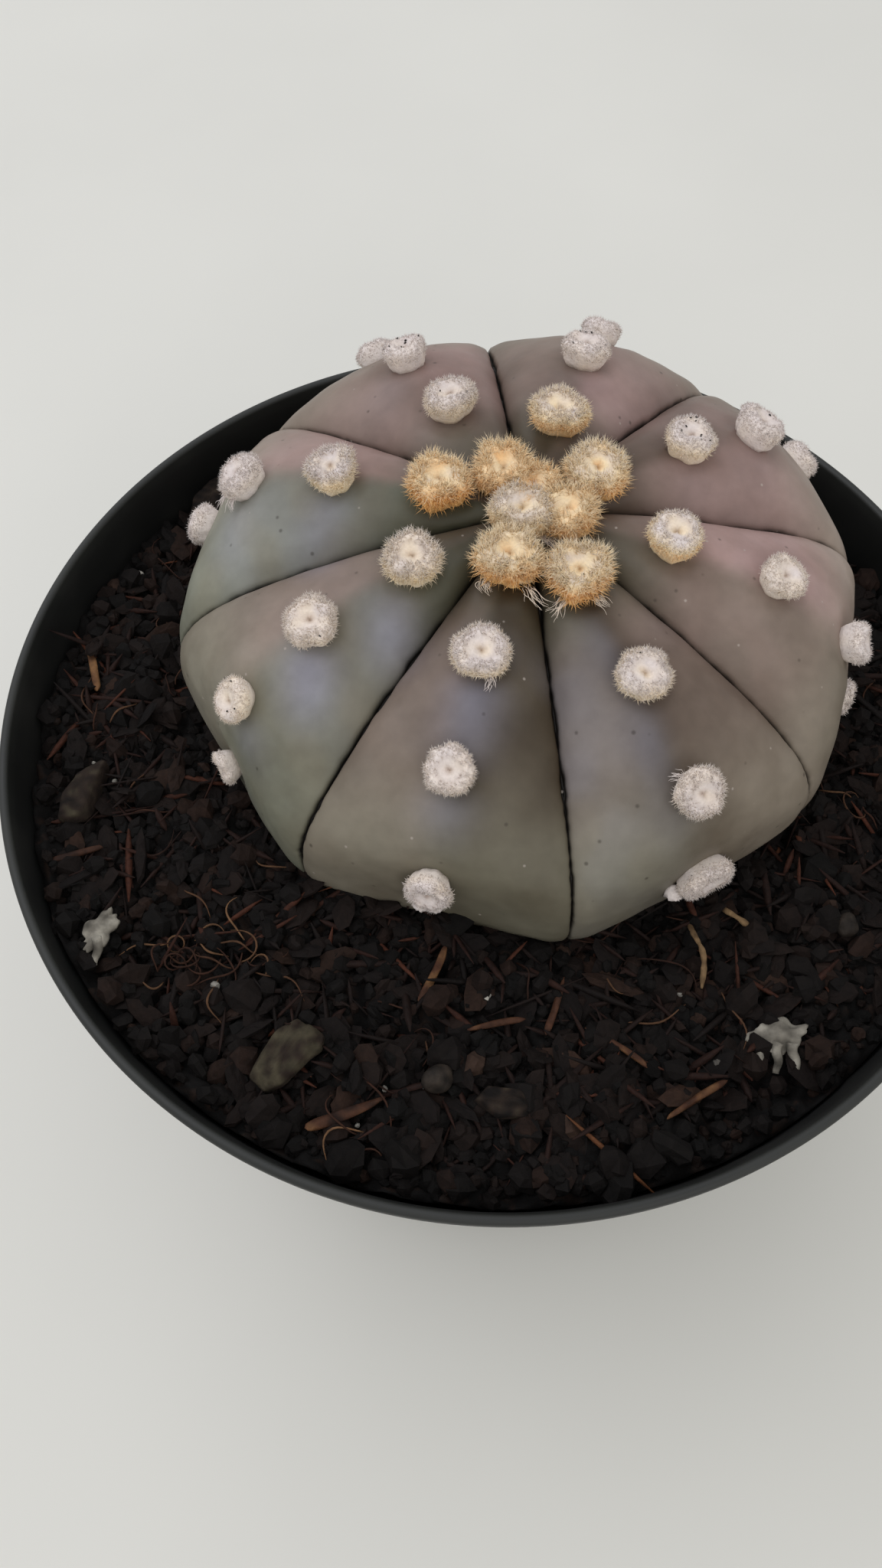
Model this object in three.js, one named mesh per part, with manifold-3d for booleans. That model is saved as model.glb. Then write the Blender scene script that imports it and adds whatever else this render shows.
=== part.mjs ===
// A spineless, eight-ribbed round cactus growing in a moulded plastic nursery pot.
// Millimetres, +Z up. The origin is the middle of the circle that the pot's foot stands on.
// The plant is one solid with its taproot. Its woolly areoles, the potting mix, the pot and
// the loose pieces that lie on the mix are separate solids.

import * as THREE from 'three';
import { mergeVertices } from 'three/addons/utils/BufferGeometryUtils.js';
import Module from 'manifold-3d';

const wasm = await Module();
wasm.setup();

const TAU = 2 * Math.PI;
const GAP = 0.3; // clear space between neighbouring solids
const WELD = 1e-4; // vertices closer than this are one vertex

// Pot: a tapered cup with a narrow band round its rim and a raised floor inside its foot ring.
const POT_HEIGHT = 92;
const RIM_RADIUS = 60;
const POT_WALL = 1.2;
const BAND_HEIGHT = 9;
const BAND_LEAN = 1.1; // how much narrower the band is at its lower edge
const FOOT_RADIUS = 45;
const FOOT_WIDTH = 4;
const FOOT_HEIGHT = 2.5;
const FLOOR_THICKNESS = 1.7;
const DRAIN_COUNT = 6;
const DRAIN_RADIUS = 3.5;
const DRAIN_CIRCLE_RADIUS = 28;
const ROUND_SIDES = 60;

// Potting mix: its surface falls gently to the back and to the right, under low lumps.
const MIX_DEPTH_BELOW_RIM = 7;
const MIX_FALL_BACK = 0.04;
const MIX_FALL_RIGHT = 0.015;
const MIX_LUMP_HEIGHT = 0.5;

// Plant: each rib's crest is a superellipse from the crown to the widest circle. The furrows
// between the ribs fall below it, and at the widest circle they stand out as round corners.
// The underside turns in to a short taproot.
const BODY_CENTRE = new THREE.Vector3(1.9, 13.3, 90.2); // middle of the widest circle
const BODY_LEAN = THREE.MathUtils.degToRad(1); // towards the front
const CREST_RADIUS = 40;
const CORNER_RADIUS = 42;
const DOME_HEIGHT = 21.8;
const CREST_POWER = 3;
const FURROW_POWER = 0.9;
const CROWN_HOLLOW_DEPTH = 1;
const CROWN_HOLLOW_RADIUS = 6;
const UNDERSIDE_DEPTH = 15;
const UNDERSIDE_POWER = 0.8;
const TAPROOT_RADIUS = 12;
const TAPROOT_LENGTH = 40;
const TAPROOT_TIP_RADIUS = 2.5;
const RIB_STEPS = 8;
const FURROW_CROWDING = 1.5; // how much the steps across a rib crowd towards its furrows

// Each rib's bearing round the crown, in degrees anticlockwise from +X, how far down its crest
// from the crown each of its areoles sits, and the radius of its first tuft, which the other
// tufts at the crown hold in.
const RIBS = [
  { bearing: -101.5, areoles: [8, 19.5, 32, 46], firstTuft: 3.3 },
  { bearing: -57.5, areoles: [11, 24, 37, 49.5], firstTuft: 3.3 },
  { bearing: -11.5, areoles: [5, 16.5, 29, 42, 52.5], firstTuft: 2.6 },
  { bearing: 32, areoles: [9, 21.5, 32, 44.5], firstTuft: 3.1 },
  { bearing: 76.5, areoles: [3, 14, 27, 37.5, 49.5], firstTuft: 1.7 },
  { bearing: 121.5, areoles: [5.5, 18, 30, 41.5, 53], firstTuft: 2.1 },
  { bearing: 168.5, areoles: [10, 22.5, 34.5, 46.5], firstTuft: 3.2 },
  { bearing: 215, areoles: [14.5, 27, 39, 51.5], firstTuft: 3.2 },
];
const CROWN_AREOLE = { bearing: -110, arc: 1.2, radius: 1.8 };

// Wool tufts: low cushions with a dimple, which wear smaller as they age down the crest.
const YOUNG_TUFT_RADIUS = 3.3;
const YOUNG_LIMIT = 18; // distance down the crest within which they are whole
const OLD_TUFT_RADIUS = 2.4;
const OLD_LIMIT = 38; // and beyond which they are fully worn
const TUFT_HEIGHT = 0.75; // as a part of the tuft's radius
const TUFT_SIDES = 10;

// Loose pieces on the mix: where each lies, the way it points in degrees, its length, width
// and thickness.
const BARK_CHIPS = [
  { x: -20, y: -43.5, turn: 57, size: [9.5, 6, 2.6] },
  { x: 3.2, y: -47, turn: -20, size: [5.4, 4.4, 2.4] },
  { x: -49.2, y: -12.2, turn: 70, size: [8, 6, 3.2] },
  { x: 50, y: -9, turn: 65, size: [8.5, 5, 2.4] },
  { x: 43, y: 34, turn: 130, size: [7, 4.5, 2.2] },
  { x: -41, y: 36, turn: 50, size: [8, 5.5, 2.6] },
];
const SPLINTERS = [
  { x: -5.5, y: -33, turn: 70, size: [7.5, 1.5, 1.1] },
  { x: 1.7, y: -38.5, turn: 15, size: [7, 1.2, 0.9] },
  { x: 8.2, y: -35.8, turn: 75, size: [7, 1.3, 1] },
  { x: 15, y: -40, turn: 150, size: [8, 1.2, 0.9] },
  { x: 23.5, y: -45, turn: 35, size: [8, 1.3, 1] },
  { x: -13.5, y: -49, turn: 25, size: [9, 2, 1.2] },
  { x: -52, y: 5, turn: 110, size: [7, 1.8, 1.1] },
  { x: -48.5, y: -21, turn: 20, size: [6.5, 1.4, 1] },
];
const DRY_ROOTS = [
  { x: 24.4, y: -28, turn: 95, size: [8.5, 1.1, 1.1] },
  { x: 30, y: -24.5, turn: -35, size: [8, 1.1, 1.1] },
];
const HUSK_FLAKES = [
  { x: -43.3, y: -31, turn: 60, size: [6, 3.6, 1.6] },
  { x: 32.4, y: -37.5, turn: 20, size: [7, 4.8, 1.6] },
];
const PEBBLES = [
  { x: -4, y: -45, turn: 30, size: [3.6, 3, 2.6] },
  { x: 41, y: -24, turn: 80, size: [3.2, 2.8, 2.2] },
];

const plastic = finish(0x1d1e1d, 0.5);
const mix = finish(0x1c1613, 0.95);
const skin = finish(0x6f6a58, 0.6);
const paleWool = finish(0xd2c5be, 1);
const creamWool = finish(0xe0c08c, 1);
const bark = finish(0x4a3b32, 0.9);
const splinteredWood = finish(0x8a6844, 0.85);
const husk = finish(0xa49f97, 0.8);
const stone = finish(0x6c6a66, 0.8);

function finish(color, roughness) {
  return new THREE.MeshStandardMaterial({ color, roughness, metalness: 0 });
}

/** The geometry with only its positions, shared where vertices meet, and no empty triangles. */
function weld(geometry) {
  geometry.deleteAttribute('normal');
  geometry.deleteAttribute('uv');
  const merged = mergeVertices(geometry, WELD);
  const index = merged.index.array;
  const kept = [];
  for (let i = 0; i < index.length; i += 3) {
    const [a, b, c] = [index[i], index[i + 1], index[i + 2]];
    if (a !== b && b !== c && c !== a) {
      kept.push(a, b, c);
    }
  }
  merged.setIndex(kept);
  return merged;
}

/** Calls move(point) on each vertex and stores the point as moved. */
function reshape(geometry, move) {
  const positions = geometry.attributes.position;
  const point = new THREE.Vector3();
  for (let i = 0; i < positions.count; i += 1) {
    point.fromBufferAttribute(positions, i);
    move(point);
    positions.setXYZ(i, point.x, point.y, point.z);
  }
  return geometry;
}

/** A profile of [radius, height] pairs turned about the Z axis. */
function turned(profile, sides) {
  const points = profile.map(([radius, height]) => new THREE.Vector2(radius, height));
  return weld(new THREE.LatheGeometry(points, sides).rotateX(Math.PI / 2));
}

/** The closed geometry with each vertex moved out along its normal. */
function grown(geometry, distance) {
  const copy = geometry.clone();
  copy.computeVertexNormals();
  const { position, normal } = copy.attributes;
  for (let i = 0; i < position.count; i += 1) {
    position.setXYZ(
      i,
      position.getX(i) + distance * normal.getX(i),
      position.getY(i) + distance * normal.getY(i),
      position.getZ(i) + distance * normal.getZ(i),
    );
  }
  copy.deleteAttribute('normal');
  return copy;
}

function solid(geometry) {
  const vertProperties = new Float32Array(geometry.attributes.position.array);
  const triVerts = new Uint32Array(geometry.index.array);
  return new wasm.Manifold(new wasm.Mesh({ numProp: 3, vertProperties, triVerts }));
}

/** What is left of a closed geometry when the tools are cut from it. */
function cut(geometry, tools) {
  let body = solid(geometry);
  for (const tool of tools) {
    body = body.subtract(solid(tool));
  }
  const mesh = body.getMesh();
  const result = new THREE.BufferGeometry();
  result.setAttribute('position', new THREE.BufferAttribute(mesh.vertProperties, 3));
  result.setIndex(new THREE.BufferAttribute(mesh.triVerts, 1));
  return result;
}

function named(name, geometry, material) {
  const mesh = new THREE.Mesh(geometry, material);
  mesh.name = name;
  return mesh;
}

// ---- Pot ----

/** Inner radius of the pot's wall at a height: a straight taper from foot to lip. */
function potInnerRadius(z) {
  const bottom = FOOT_RADIUS - POT_WALL;
  const top = RIM_RADIUS - POT_WALL;
  return bottom + ((top - bottom) * z) / POT_HEIGHT;
}

function potProfile() {
  const bandBottom = POT_HEIGHT - BAND_HEIGHT;
  const floorTop = FOOT_HEIGHT + FLOOR_THICKNESS;
  const edge = 0.6; // rounding of the foot and of the band's lower edge
  const lipRadius = POT_WALL / 2;
  const profile = [
    [0, FOOT_HEIGHT],
    [FOOT_RADIUS - FOOT_WIDTH - edge, FOOT_HEIGHT],
    [FOOT_RADIUS - FOOT_WIDTH, FOOT_HEIGHT - edge],
    [FOOT_RADIUS - FOOT_WIDTH, 0],
    [FOOT_RADIUS - edge, 0],
    [FOOT_RADIUS, edge],
    [potInnerRadius(bandBottom) + POT_WALL, bandBottom],
    [RIM_RADIUS - BAND_LEAN, bandBottom + edge],
  ];
  const lipSteps = 4;
  for (let i = 0; i <= lipSteps; i += 1) {
    const angle = (Math.PI * i) / lipSteps;
    profile.push([
      RIM_RADIUS - lipRadius + lipRadius * Math.cos(angle),
      POT_HEIGHT - lipRadius + lipRadius * Math.sin(angle),
    ]);
  }
  profile.push([potInnerRadius(floorTop + 2 * edge), floorTop + 2 * edge]);
  profile.push([potInnerRadius(floorTop) - 2 * edge, floorTop]);
  profile.push([0, floorTop]);
  return profile;
}

/** Round drain holes through the floor, on a circle. */
function drainCutters() {
  const cutters = [];
  for (let i = 0; i < DRAIN_COUNT; i += 1) {
    const angle = (TAU * (i + 0.5)) / DRAIN_COUNT;
    const height = 3 * FLOOR_THICKNESS;
    const cutter = new THREE.CylinderGeometry(DRAIN_RADIUS, DRAIN_RADIUS, height, 12);
    cutter.rotateX(Math.PI / 2);
    cutter.translate(
      DRAIN_CIRCLE_RADIUS * Math.cos(angle),
      DRAIN_CIRCLE_RADIUS * Math.sin(angle),
      FOOT_HEIGHT + FLOOR_THICKNESS / 2,
    );
    cutters.push(weld(cutter));
  }
  return cutters;
}

// ---- Plant ----

/**
 * The skin point at an angle down from the crown, in radians, a bearing, and a share of the way
 * from the nearest crest, 0, to a furrow, 1. Past half a turn it is on the taproot.
 */
function bodyPoint(angle, bearing, away) {
  const corner = THREE.MathUtils.smoothstep(away, 0, 1);
  const widest = CREST_RADIUS + (CORNER_RADIUS - CREST_RADIUS) * corner;
  let radius;
  let height;
  if (angle <= Math.PI / 2) {
    const share = Math.sin(angle) ** (2 / CREST_POWER);
    const power = CREST_POWER + (FURROW_POWER - CREST_POWER) * away ** 2;
    radius = widest * share;
    height = DOME_HEIGHT * Math.max(1 - share ** power, 0) ** (1 / CREST_POWER);
    height -= CROWN_HOLLOW_DEPTH * Math.exp(-((radius / CROWN_HOLLOW_RADIUS) ** 2));
  } else if (angle <= Math.PI) {
    const under = angle - Math.PI / 2;
    const share = Math.abs(Math.cos(under)) ** UNDERSIDE_POWER;
    radius = TAPROOT_RADIUS + (widest - TAPROOT_RADIUS) * share;
    height = -UNDERSIDE_DEPTH * Math.sin(under);
  } else {
    const down = (angle - Math.PI) / Math.PI;
    radius = TAPROOT_RADIUS + (TAPROOT_TIP_RADIUS - TAPROOT_RADIUS) * down;
    height = -UNDERSIDE_DEPTH - TAPROOT_LENGTH * down;
  }
  return new THREE.Vector3(radius * Math.cos(bearing), radius * Math.sin(bearing), height);
}

/**
 * Where a share of a full turn falls on the ribs: its bearing in radians, and its share of the
 * way from the rib's crest to a furrow. Equal shares of the turn crowd together at the furrows.
 */
function ribPlace(share) {
  const turn = share * RIBS.length;
  const last = RIBS.length - 1;
  const rib = Math.min(Math.floor(turn), last);
  const side = 2 * (turn - rib) - 1;
  const away = 1 - (1 - Math.min(Math.abs(side), 1)) ** FURROW_CROWDING;
  const crest = RIBS[rib].bearing;
  const before = rib > 0 ? RIBS[rib - 1].bearing : RIBS[last].bearing - 360;
  const after = rib < last ? RIBS[rib + 1].bearing : RIBS[0].bearing + 360;
  const reach = side < 0 ? (before - crest) / 2 : (after - crest) / 2;
  return { bearing: THREE.MathUtils.degToRad(crest + reach * away), away };
}

/** The plant as a turned tube whose height is minus the angle, bent on to the skin's points. */
function plantGeometry() {
  const domeSteps = 13;
  const undersideSteps = 6;
  const taprootSteps = 2;
  const angles = [];
  for (let i = taprootSteps; i > 0; i -= 1) {
    angles.push(Math.PI * (1 + i / taprootSteps));
  }
  for (let i = undersideSteps; i > 0; i -= 1) {
    angles.push((Math.PI / 2) * (1 + i / undersideSteps));
  }
  for (let i = domeSteps; i > 0; i -= 1) {
    angles.push((Math.PI / 2) * (i / domeSteps) ** 1.2);
  }
  const profile = [[0, -TAU], ...angles.map((angle) => [1, -angle]), [0, 0]];
  return reshape(turned(profile, RIBS.length * RIB_STEPS), (point) => {
    const onAxis = Math.hypot(point.x, point.y) < 0.5;
    const { bearing, away } = ribPlace((Math.atan2(point.y, point.x) / TAU + 1) % 1);
    point.copy(bodyPoint(-point.z, bearing, away));
    if (onAxis) {
      point.x = 0;
      point.y = 0;
    }
  });
}

/** The angle down from the crown at which a crest is this long. */
function crestAngle(arc) {
  const step = 0.002;
  let angle = 0;
  let length = 0;
  let point = bodyPoint(0, 0, 0);
  while (length < arc) {
    angle += step;
    const next = bodyPoint(angle, 0, 0);
    length += next.distanceTo(point);
    point = next;
  }
  return angle;
}

function crestNormal(angle, bearing) {
  const step = 0.02;
  const up = bodyPoint(Math.max(angle - step, 0.001), bearing, 0);
  const down = bodyPoint(angle + step, bearing, 0);
  const across = new THREE.Vector3(-Math.sin(bearing), Math.cos(bearing), 0);
  return down.sub(up).cross(across).normalize();
}

/** A dimpled cushion that stands on a crest, this far down it from the crown. */
function tuft(name, bearingDegrees, arc, radius, material) {
  const height = TUFT_HEIGHT * radius;
  const profile = [
    [0, 0],
    [0.95 * radius, 0],
    [radius, 0.35 * height],
    [0.78 * radius, 0.82 * height],
    [0.4 * radius, height],
    [0, 0.86 * height],
  ];
  const mesh = named(name, turned(profile, TUFT_SIDES), material);
  const bearing = THREE.MathUtils.degToRad(bearingDegrees);
  const angle = crestAngle(arc);
  const normal = crestNormal(angle, bearing);
  mesh.position.copy(bodyPoint(angle, bearing, 0).addScaledVector(normal, GAP));
  mesh.quaternion.setFromUnitVectors(new THREE.Vector3(0, 0, 1), normal);
  return mesh;
}

function wornRadius(arc) {
  const wear = THREE.MathUtils.clamp((arc - YOUNG_LIMIT) / (OLD_LIMIT - YOUNG_LIMIT), 0, 1);
  return THREE.MathUtils.lerp(YOUNG_TUFT_RADIUS, OLD_TUFT_RADIUS, wear);
}

function tufts() {
  const { bearing, arc, radius } = CROWN_AREOLE;
  const meshes = [tuft('wool_tuft_crown', bearing, arc, radius, creamWool)];
  RIBS.forEach((rib, i) => {
    rib.areoles.forEach((areole, j) => {
      const name = `wool_tuft_rib${i + 1}_${j + 1}`;
      if (j === 0) {
        meshes.push(tuft(name, rib.bearing, areole, rib.firstTuft, creamWool));
      } else {
        meshes.push(tuft(name, rib.bearing, areole, wornRadius(areole), paleWool));
      }
    });
  });
  return meshes;
}

// ---- Potting mix and what lies on it ----

/** Height of the mix's surface at a place. */
function mixLevel(x, y) {
  const lumps = Math.sin(x / 4.3 + 1) * Math.cos(y / 5.1) + Math.sin((x + y) / 7.7);
  const plane = POT_HEIGHT - MIX_DEPTH_BELOW_RIM - MIX_FALL_BACK * y - MIX_FALL_RIGHT * x;
  return plane + MIX_LUMP_HEIGHT * lumps;
}

/** The mix fills the pot up to its surface, with room left for the plant. */
function mixGeometry(plantInPlace) {
  const bottom = FOOT_HEIGHT + FLOOR_THICKNESS + GAP;
  const top = POT_HEIGHT;
  const surfaceRings = 9;
  const profile = [
    [0, bottom],
    [potInnerRadius(bottom) - 5 * GAP, bottom],
    [potInnerRadius(bottom + 5 * GAP) - GAP, bottom + 5 * GAP],
  ];
  for (let i = surfaceRings; i >= 0; i -= 1) {
    profile.push([((potInnerRadius(top) - GAP) * i) / surfaceRings, top]);
  }
  const body = reshape(turned(profile, ROUND_SIDES), (point) => {
    if (point.z < top - 1) {
      return;
    }
    const radius = Math.hypot(point.x, point.y);
    point.z = mixLevel(point.x, point.y);
    const limit = potInnerRadius(point.z) - GAP;
    if (radius > limit) {
      point.x *= limit / radius;
      point.y *= limit / radius;
    }
  });
  return cut(body, [grown(plantInPlace, GAP)]);
}

/** Raises a piece that is already turned and in place until it clears the mix. */
function restOnMix(geometry) {
  const positions = geometry.attributes.position;
  let lift = -Infinity;
  for (let i = 0; i < positions.count; i += 1) {
    const clear = mixLevel(positions.getX(i), positions.getY(i)) + 2 * GAP;
    lift = Math.max(lift, clear - positions.getZ(i));
  }
  return geometry.translate(0, 0, lift);
}

function looseGeometry(shape, { x, y, turn, size }) {
  const [length, width, thickness] = size;
  const geometry = weld(shape());
  geometry.scale(length / 2, width / 2, thickness / 2);
  geometry.rotateZ(THREE.MathUtils.degToRad(turn));
  geometry.translate(x, y, 0);
  return restOnMix(geometry);
}

/** A rough angular lump, one unit in radius. */
function lump() {
  return reshape(new THREE.SphereGeometry(1, 7, 4).rotateX(Math.PI / 2), (point) => {
    const corner = 1 + 0.14 * Math.sin(5 * point.x + 3 * point.y) * (1 - point.z ** 2);
    point.x *= corner;
    point.y *= corner;
    point.z = Math.sign(point.z) * Math.abs(point.z) ** 0.6;
  });
}

/** A sliver along X that tapers to both ends, one unit in radius. */
function sliver() {
  return new THREE.SphereGeometry(1, 5, 5).rotateZ(Math.PI / 2);
}

/** A low cup turned upside down, one unit in radius. */
function scale() {
  return reshape(new THREE.SphereGeometry(1, 10, 5).rotateX(Math.PI / 2), (point) => {
    point.z = point.z < 0 ? -0.4 * point.z - 0.2 : point.z;
  });
}

function pebble() {
  return new THREE.SphereGeometry(1, 8, 5).rotateX(Math.PI / 2);
}

function loosePieces() {
  const kinds = [
    ['bark_chip', BARK_CHIPS, lump, bark],
    ['wood_splinter', SPLINTERS, sliver, splinteredWood],
    ['dry_root', DRY_ROOTS, sliver, splinteredWood],
    ['husk_flake', HUSK_FLAKES, scale, husk],
    ['pebble', PEBBLES, pebble, stone],
  ];
  return kinds.flatMap(([name, places, shape, material]) =>
    places.map((place, i) => named(`${name}_${i + 1}`, looseGeometry(shape, place), material)),
  );
}

// ---- Assembly ----

const cactus = new THREE.Group();
cactus.position.copy(BODY_CENTRE);
cactus.rotation.x = BODY_LEAN;
cactus.updateMatrix();
const plant = plantGeometry();
cactus.add(named('cactus_body', plant, skin), ...tufts());

const part = new THREE.Group();
part.add(named('pot', cut(turned(potProfile(), ROUND_SIDES), drainCutters()), plastic));
part.add(named('potting_mix', mixGeometry(plant.clone().applyMatrix4(cactus.matrix)), mix));
part.add(cactus, ...loosePieces());

export default part;
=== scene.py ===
"""A spineless eight-ribbed round cactus in a black nursery pot, made around its CAD frame."""

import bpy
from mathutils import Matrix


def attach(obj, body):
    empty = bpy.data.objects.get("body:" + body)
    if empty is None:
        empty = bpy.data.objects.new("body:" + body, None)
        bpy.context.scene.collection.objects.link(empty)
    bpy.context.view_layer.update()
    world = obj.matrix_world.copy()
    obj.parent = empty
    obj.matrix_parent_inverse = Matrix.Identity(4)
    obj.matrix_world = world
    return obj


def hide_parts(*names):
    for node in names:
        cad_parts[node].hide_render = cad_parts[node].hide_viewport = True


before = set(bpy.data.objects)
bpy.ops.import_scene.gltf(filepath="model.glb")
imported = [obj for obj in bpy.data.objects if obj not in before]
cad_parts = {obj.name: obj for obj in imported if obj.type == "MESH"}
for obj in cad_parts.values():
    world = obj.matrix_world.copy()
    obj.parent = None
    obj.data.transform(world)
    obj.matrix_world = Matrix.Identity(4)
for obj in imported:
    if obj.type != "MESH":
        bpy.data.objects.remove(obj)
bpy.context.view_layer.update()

from collections import namedtuple

import bpy
import numpy as np
from bpy.props import FloatProperty, FloatVectorProperty, IntProperty, PointerProperty
from mathutils import Euler, Matrix, Vector

bl_info = {
    "name": "Potted Round Cactus",
    "version": (1, 0, 0),
    "blender": (4, 5, 0),
    "location": "View3D > Sidebar > Cactus",
    "description": "Builds a ribbed woolly cactus, its potting mix and its pot",
    "category": "Add Mesh",
}

MM = 0.001  # every shape below is worked out in millimetres, and made in metres
TAU = 2 * np.pi

Shape = namedtuple("Shape", "vertices quads triangles")


def linear(hex_colour):
    """An sRGB hex colour as linear red, green and blue."""
    digits = hex_colour.lstrip("#")
    srgb = np.array([int(digits[i : i + 2], 16) for i in (0, 2, 4)]) / 255
    bent = ((srgb + 0.055) / 1.055) ** 2.4
    return tuple(np.where(srgb <= 0.04045, srgb / 12.92, bent).tolist())


def rgba(hex_colour):
    """An sRGB hex colour as a linear colour with full alpha."""
    return (*linear(hex_colour), 1.0)


# ---------------------------------------------------------------- settings


def length(name, description, default):
    return FloatProperty(name=name, description=description, default=default, unit="LENGTH")


def colour(name, description, default):
    return FloatVectorProperty(
        name=name, description=description, default=linear(default),
        size=3, min=0, max=1, subtype="COLOR",
    )


class PlantSettings(bpy.types.PropertyGroup):
    centre: FloatVectorProperty(
        name="Centre", description="Middle of the plant's widest circle",
        default=(0.0019, 0.0133, 0.0902), subtype="TRANSLATION", unit="LENGTH",
    )
    lean: FloatProperty(
        name="Lean", description="How far the plant leans towards the front",
        default=np.radians(1), subtype="ANGLE",
    )
    crest_radius: length("Crest radius", "Radius of the widest circle at a rib's crest", 0.040)
    corner_radius: length("Corner radius", "Radius of the widest circle at a furrow", 0.042)
    dome_height: length("Dome height", "Height of the crown over the widest circle", 0.0218)
    crease_depth: length("Crease depth", "Depth of the crease along each furrow", 0.0006)
    crease_width: length("Crease width", "Half the width of the crease", 0.0002)
    olive: colour("Olive skin", "Old skin low on the ribs", "#918d7b")
    umber: colour("Umber skin", "Young skin towards the crown", "#5f5748")
    # Partly the skin's own mauve flushing, and partly painted light on the far faces lit from
    # behind.
    mauve: colour("Flushed skin and painted light", "Skin flushed mauve, and painted light on the far faces lit from behind", "#b1938e")
    # The skin's own green near the crown and low on the ribs; on the faces turned to the window it
    # is a painted sheen.
    green_and_painted_sheen: colour("Sage skin and painted sheen", "Green skin near the crown and low on the ribs, and painted sheen on the faces turned to the window", "#6f7e6a")
    # Colour of a painted sheen: the window's reflection below the tufts and on the faces turned to
    # it.
    painted_sheen: colour("Painted sheen", "Painted sheen below the tufts and on the faces turned to the window", "#9a9baf")
    # Colour of the painted shade on the skin: on the faces turned from the light, along some
    # crests, beside the creases and round the crown.
    dark: colour("Painted shade", "Painted shade on the faces turned from the light, beside the creases and round the crown", "#3b2f20")


class WoolSettings(bpy.types.PropertyGroup):
    hairs: IntProperty(
        name="Hairs", description="Loose hairs on each tuft", default=1500, min=0, max=4000
    )
    hair_length: length("Hair length", "Length of a loose hair", 0.0009)
    hair_radius: length("Hair radius", "Radius of a loose hair at its root", 0.00004)
    white: colour("Old wool", "Weathered wool of the outer tufts", "#e4dad6")
    cream: colour("Fresh wool", "Wool of the tufts near the crown", "#feeac5")
    ochre: colour("Ochre wool", "Wool low on the crown's tufts", "#fbc27a")


class MixSettings(bpy.types.PropertyGroup):
    crumbs: IntProperty(
        name="Crumbs", description="Crumbs lying on the mix", default=5200, min=0, max=8000
    )
    splinters: IntProperty(
        name="Splinters", description="Splinters lying on the mix", default=900, min=0, max=4000
    )
    peat: colour("Peat", "Damp peat between the crumbs", "#0a0807")
    bark: colour("Bark", "Bark crumbs and chips", "#251812")
    wood: colour("Torn wood", "Fresh torn wood", "#9a6a3e")


class PotSettings(bpy.types.PropertyGroup):
    plastic: colour("Plastic", "Colour of the pot", "#0e0f0e")
    scuffed: colour("Scuffed plastic", "Colour of the worn lip", "#2c2f2b")


class StageSettings(bpy.types.PropertyGroup):
    floor: colour("Floor", "Colour of the floor", "#dbdad3")
    key_power: FloatProperty(
        name="Window", description="Power of the large soft light", default=4.3, unit="POWER"
    )
    bounce_power: FloatProperty(
        name="Bounce", description="Power of the light from the front", default=2.6, unit="POWER"
    )
    sky: FloatProperty(name="Sky", description="Strength of the even light", default=0.76)


class CactusSettings(bpy.types.PropertyGroup):
    plant: PointerProperty(type=PlantSettings, name="Plant", description="Body and skin")
    wool: PointerProperty(type=WoolSettings, name="Wool", description="Tufts")
    mix: PointerProperty(type=MixSettings, name="Mix", description="Potting mix")
    pot: PointerProperty(type=PotSettings, name="Pot", description="Pot")
    stage: PointerProperty(type=StageSettings, name="Stage", description="Floor and light")


# ---------------------------------------------------------------- shapes


def closed_tube(rings):
    """A tube of rings, (rows, columns, 3), each end closed on the middle of its last ring."""
    rows, columns, _ = rings.shape
    ends = np.stack([rings[0].mean(0), rings[-1].mean(0)])
    vertices = np.concatenate([rings.reshape(-1, 3), ends])
    here = np.arange(columns)
    after = (here + 1) % columns
    row = np.arange(rows - 1)[:, None] * columns
    quads = np.stack([row + here, row + after, row + columns + after, row + columns + here], -1)
    last = (rows - 1) * columns
    first_pole = np.full(columns, rows * columns)
    caps = np.concatenate(
        [
            np.stack([first_pole, after, here], -1),
            np.stack([first_pole + 1, last + here, last + after], -1),
        ]
    )
    return outward(Shape(vertices, quads.reshape(-1, 4), caps))


def outward(shape):
    """The closed shape with its faces turned so that the volume they hold is positive."""
    corners = np.concatenate(
        [shape.triangles, shape.quads[:, [0, 1, 2]], shape.quads[:, [0, 2, 3]]]
    )
    a, b, c = (shape.vertices[corners[:, i]] for i in range(3))
    if (a * np.cross(b, c)).sum() < 0:
        return Shape(shape.vertices, shape.quads[:, ::-1], shape.triangles[:, ::-1])
    return shape


def grey(level):
    """A neutral colour of a linear level, to multiply another by."""
    return (level, level, level, 1.0)


def joined(shapes):
    """One shape of several, in their order."""
    starts = np.cumsum([0] + [len(s.vertices) for s in shapes])
    quads = np.concatenate([s.quads + start for s, start in zip(shapes, starts)])
    triangles = np.concatenate([s.triangles + start for s, start in zip(shapes, starts)])
    vertices = np.concatenate([s.vertices for s in shapes])
    return Shape(vertices, quads.astype(int), triangles.astype(int))


def copies(shape, turns, sizes, places):
    """One copy of the shape for each turn (n, 3, 3), size (n, 3) and place (n, 3)."""
    scaled = shape.vertices[None] * sizes[:, None]
    vertices = np.einsum("nij,nvj->nvi", turns, scaled) + places[:, None]
    starts = (np.arange(len(places)) * len(shape.vertices))[:, None, None]
    quads = (shape.quads[None] + starts).reshape(-1, 4)
    triangles = (shape.triangles[None] + starts).reshape(-1, 3)
    return Shape(vertices.reshape(-1, 3), quads, triangles)


def turns_of(yaw, pitch, roll):
    """Turn matrices (n, 3, 3): a roll about X, then a pitch about Y, then a yaw about Z."""
    zero, one = np.zeros_like(yaw), np.ones_like(yaw)
    c, s = np.cos, np.sin
    about_z = [c(yaw), -s(yaw), zero, s(yaw), c(yaw), zero, zero, zero, one]
    about_y = [c(pitch), zero, s(pitch), zero, one, zero, -s(pitch), zero, c(pitch)]
    about_x = [one, zero, zero, zero, c(roll), -s(roll), zero, s(roll), c(roll)]
    z, y, x = (np.stack(m, -1).reshape(-1, 3, 3) for m in (about_z, about_y, about_x))
    return z @ y @ x


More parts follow.
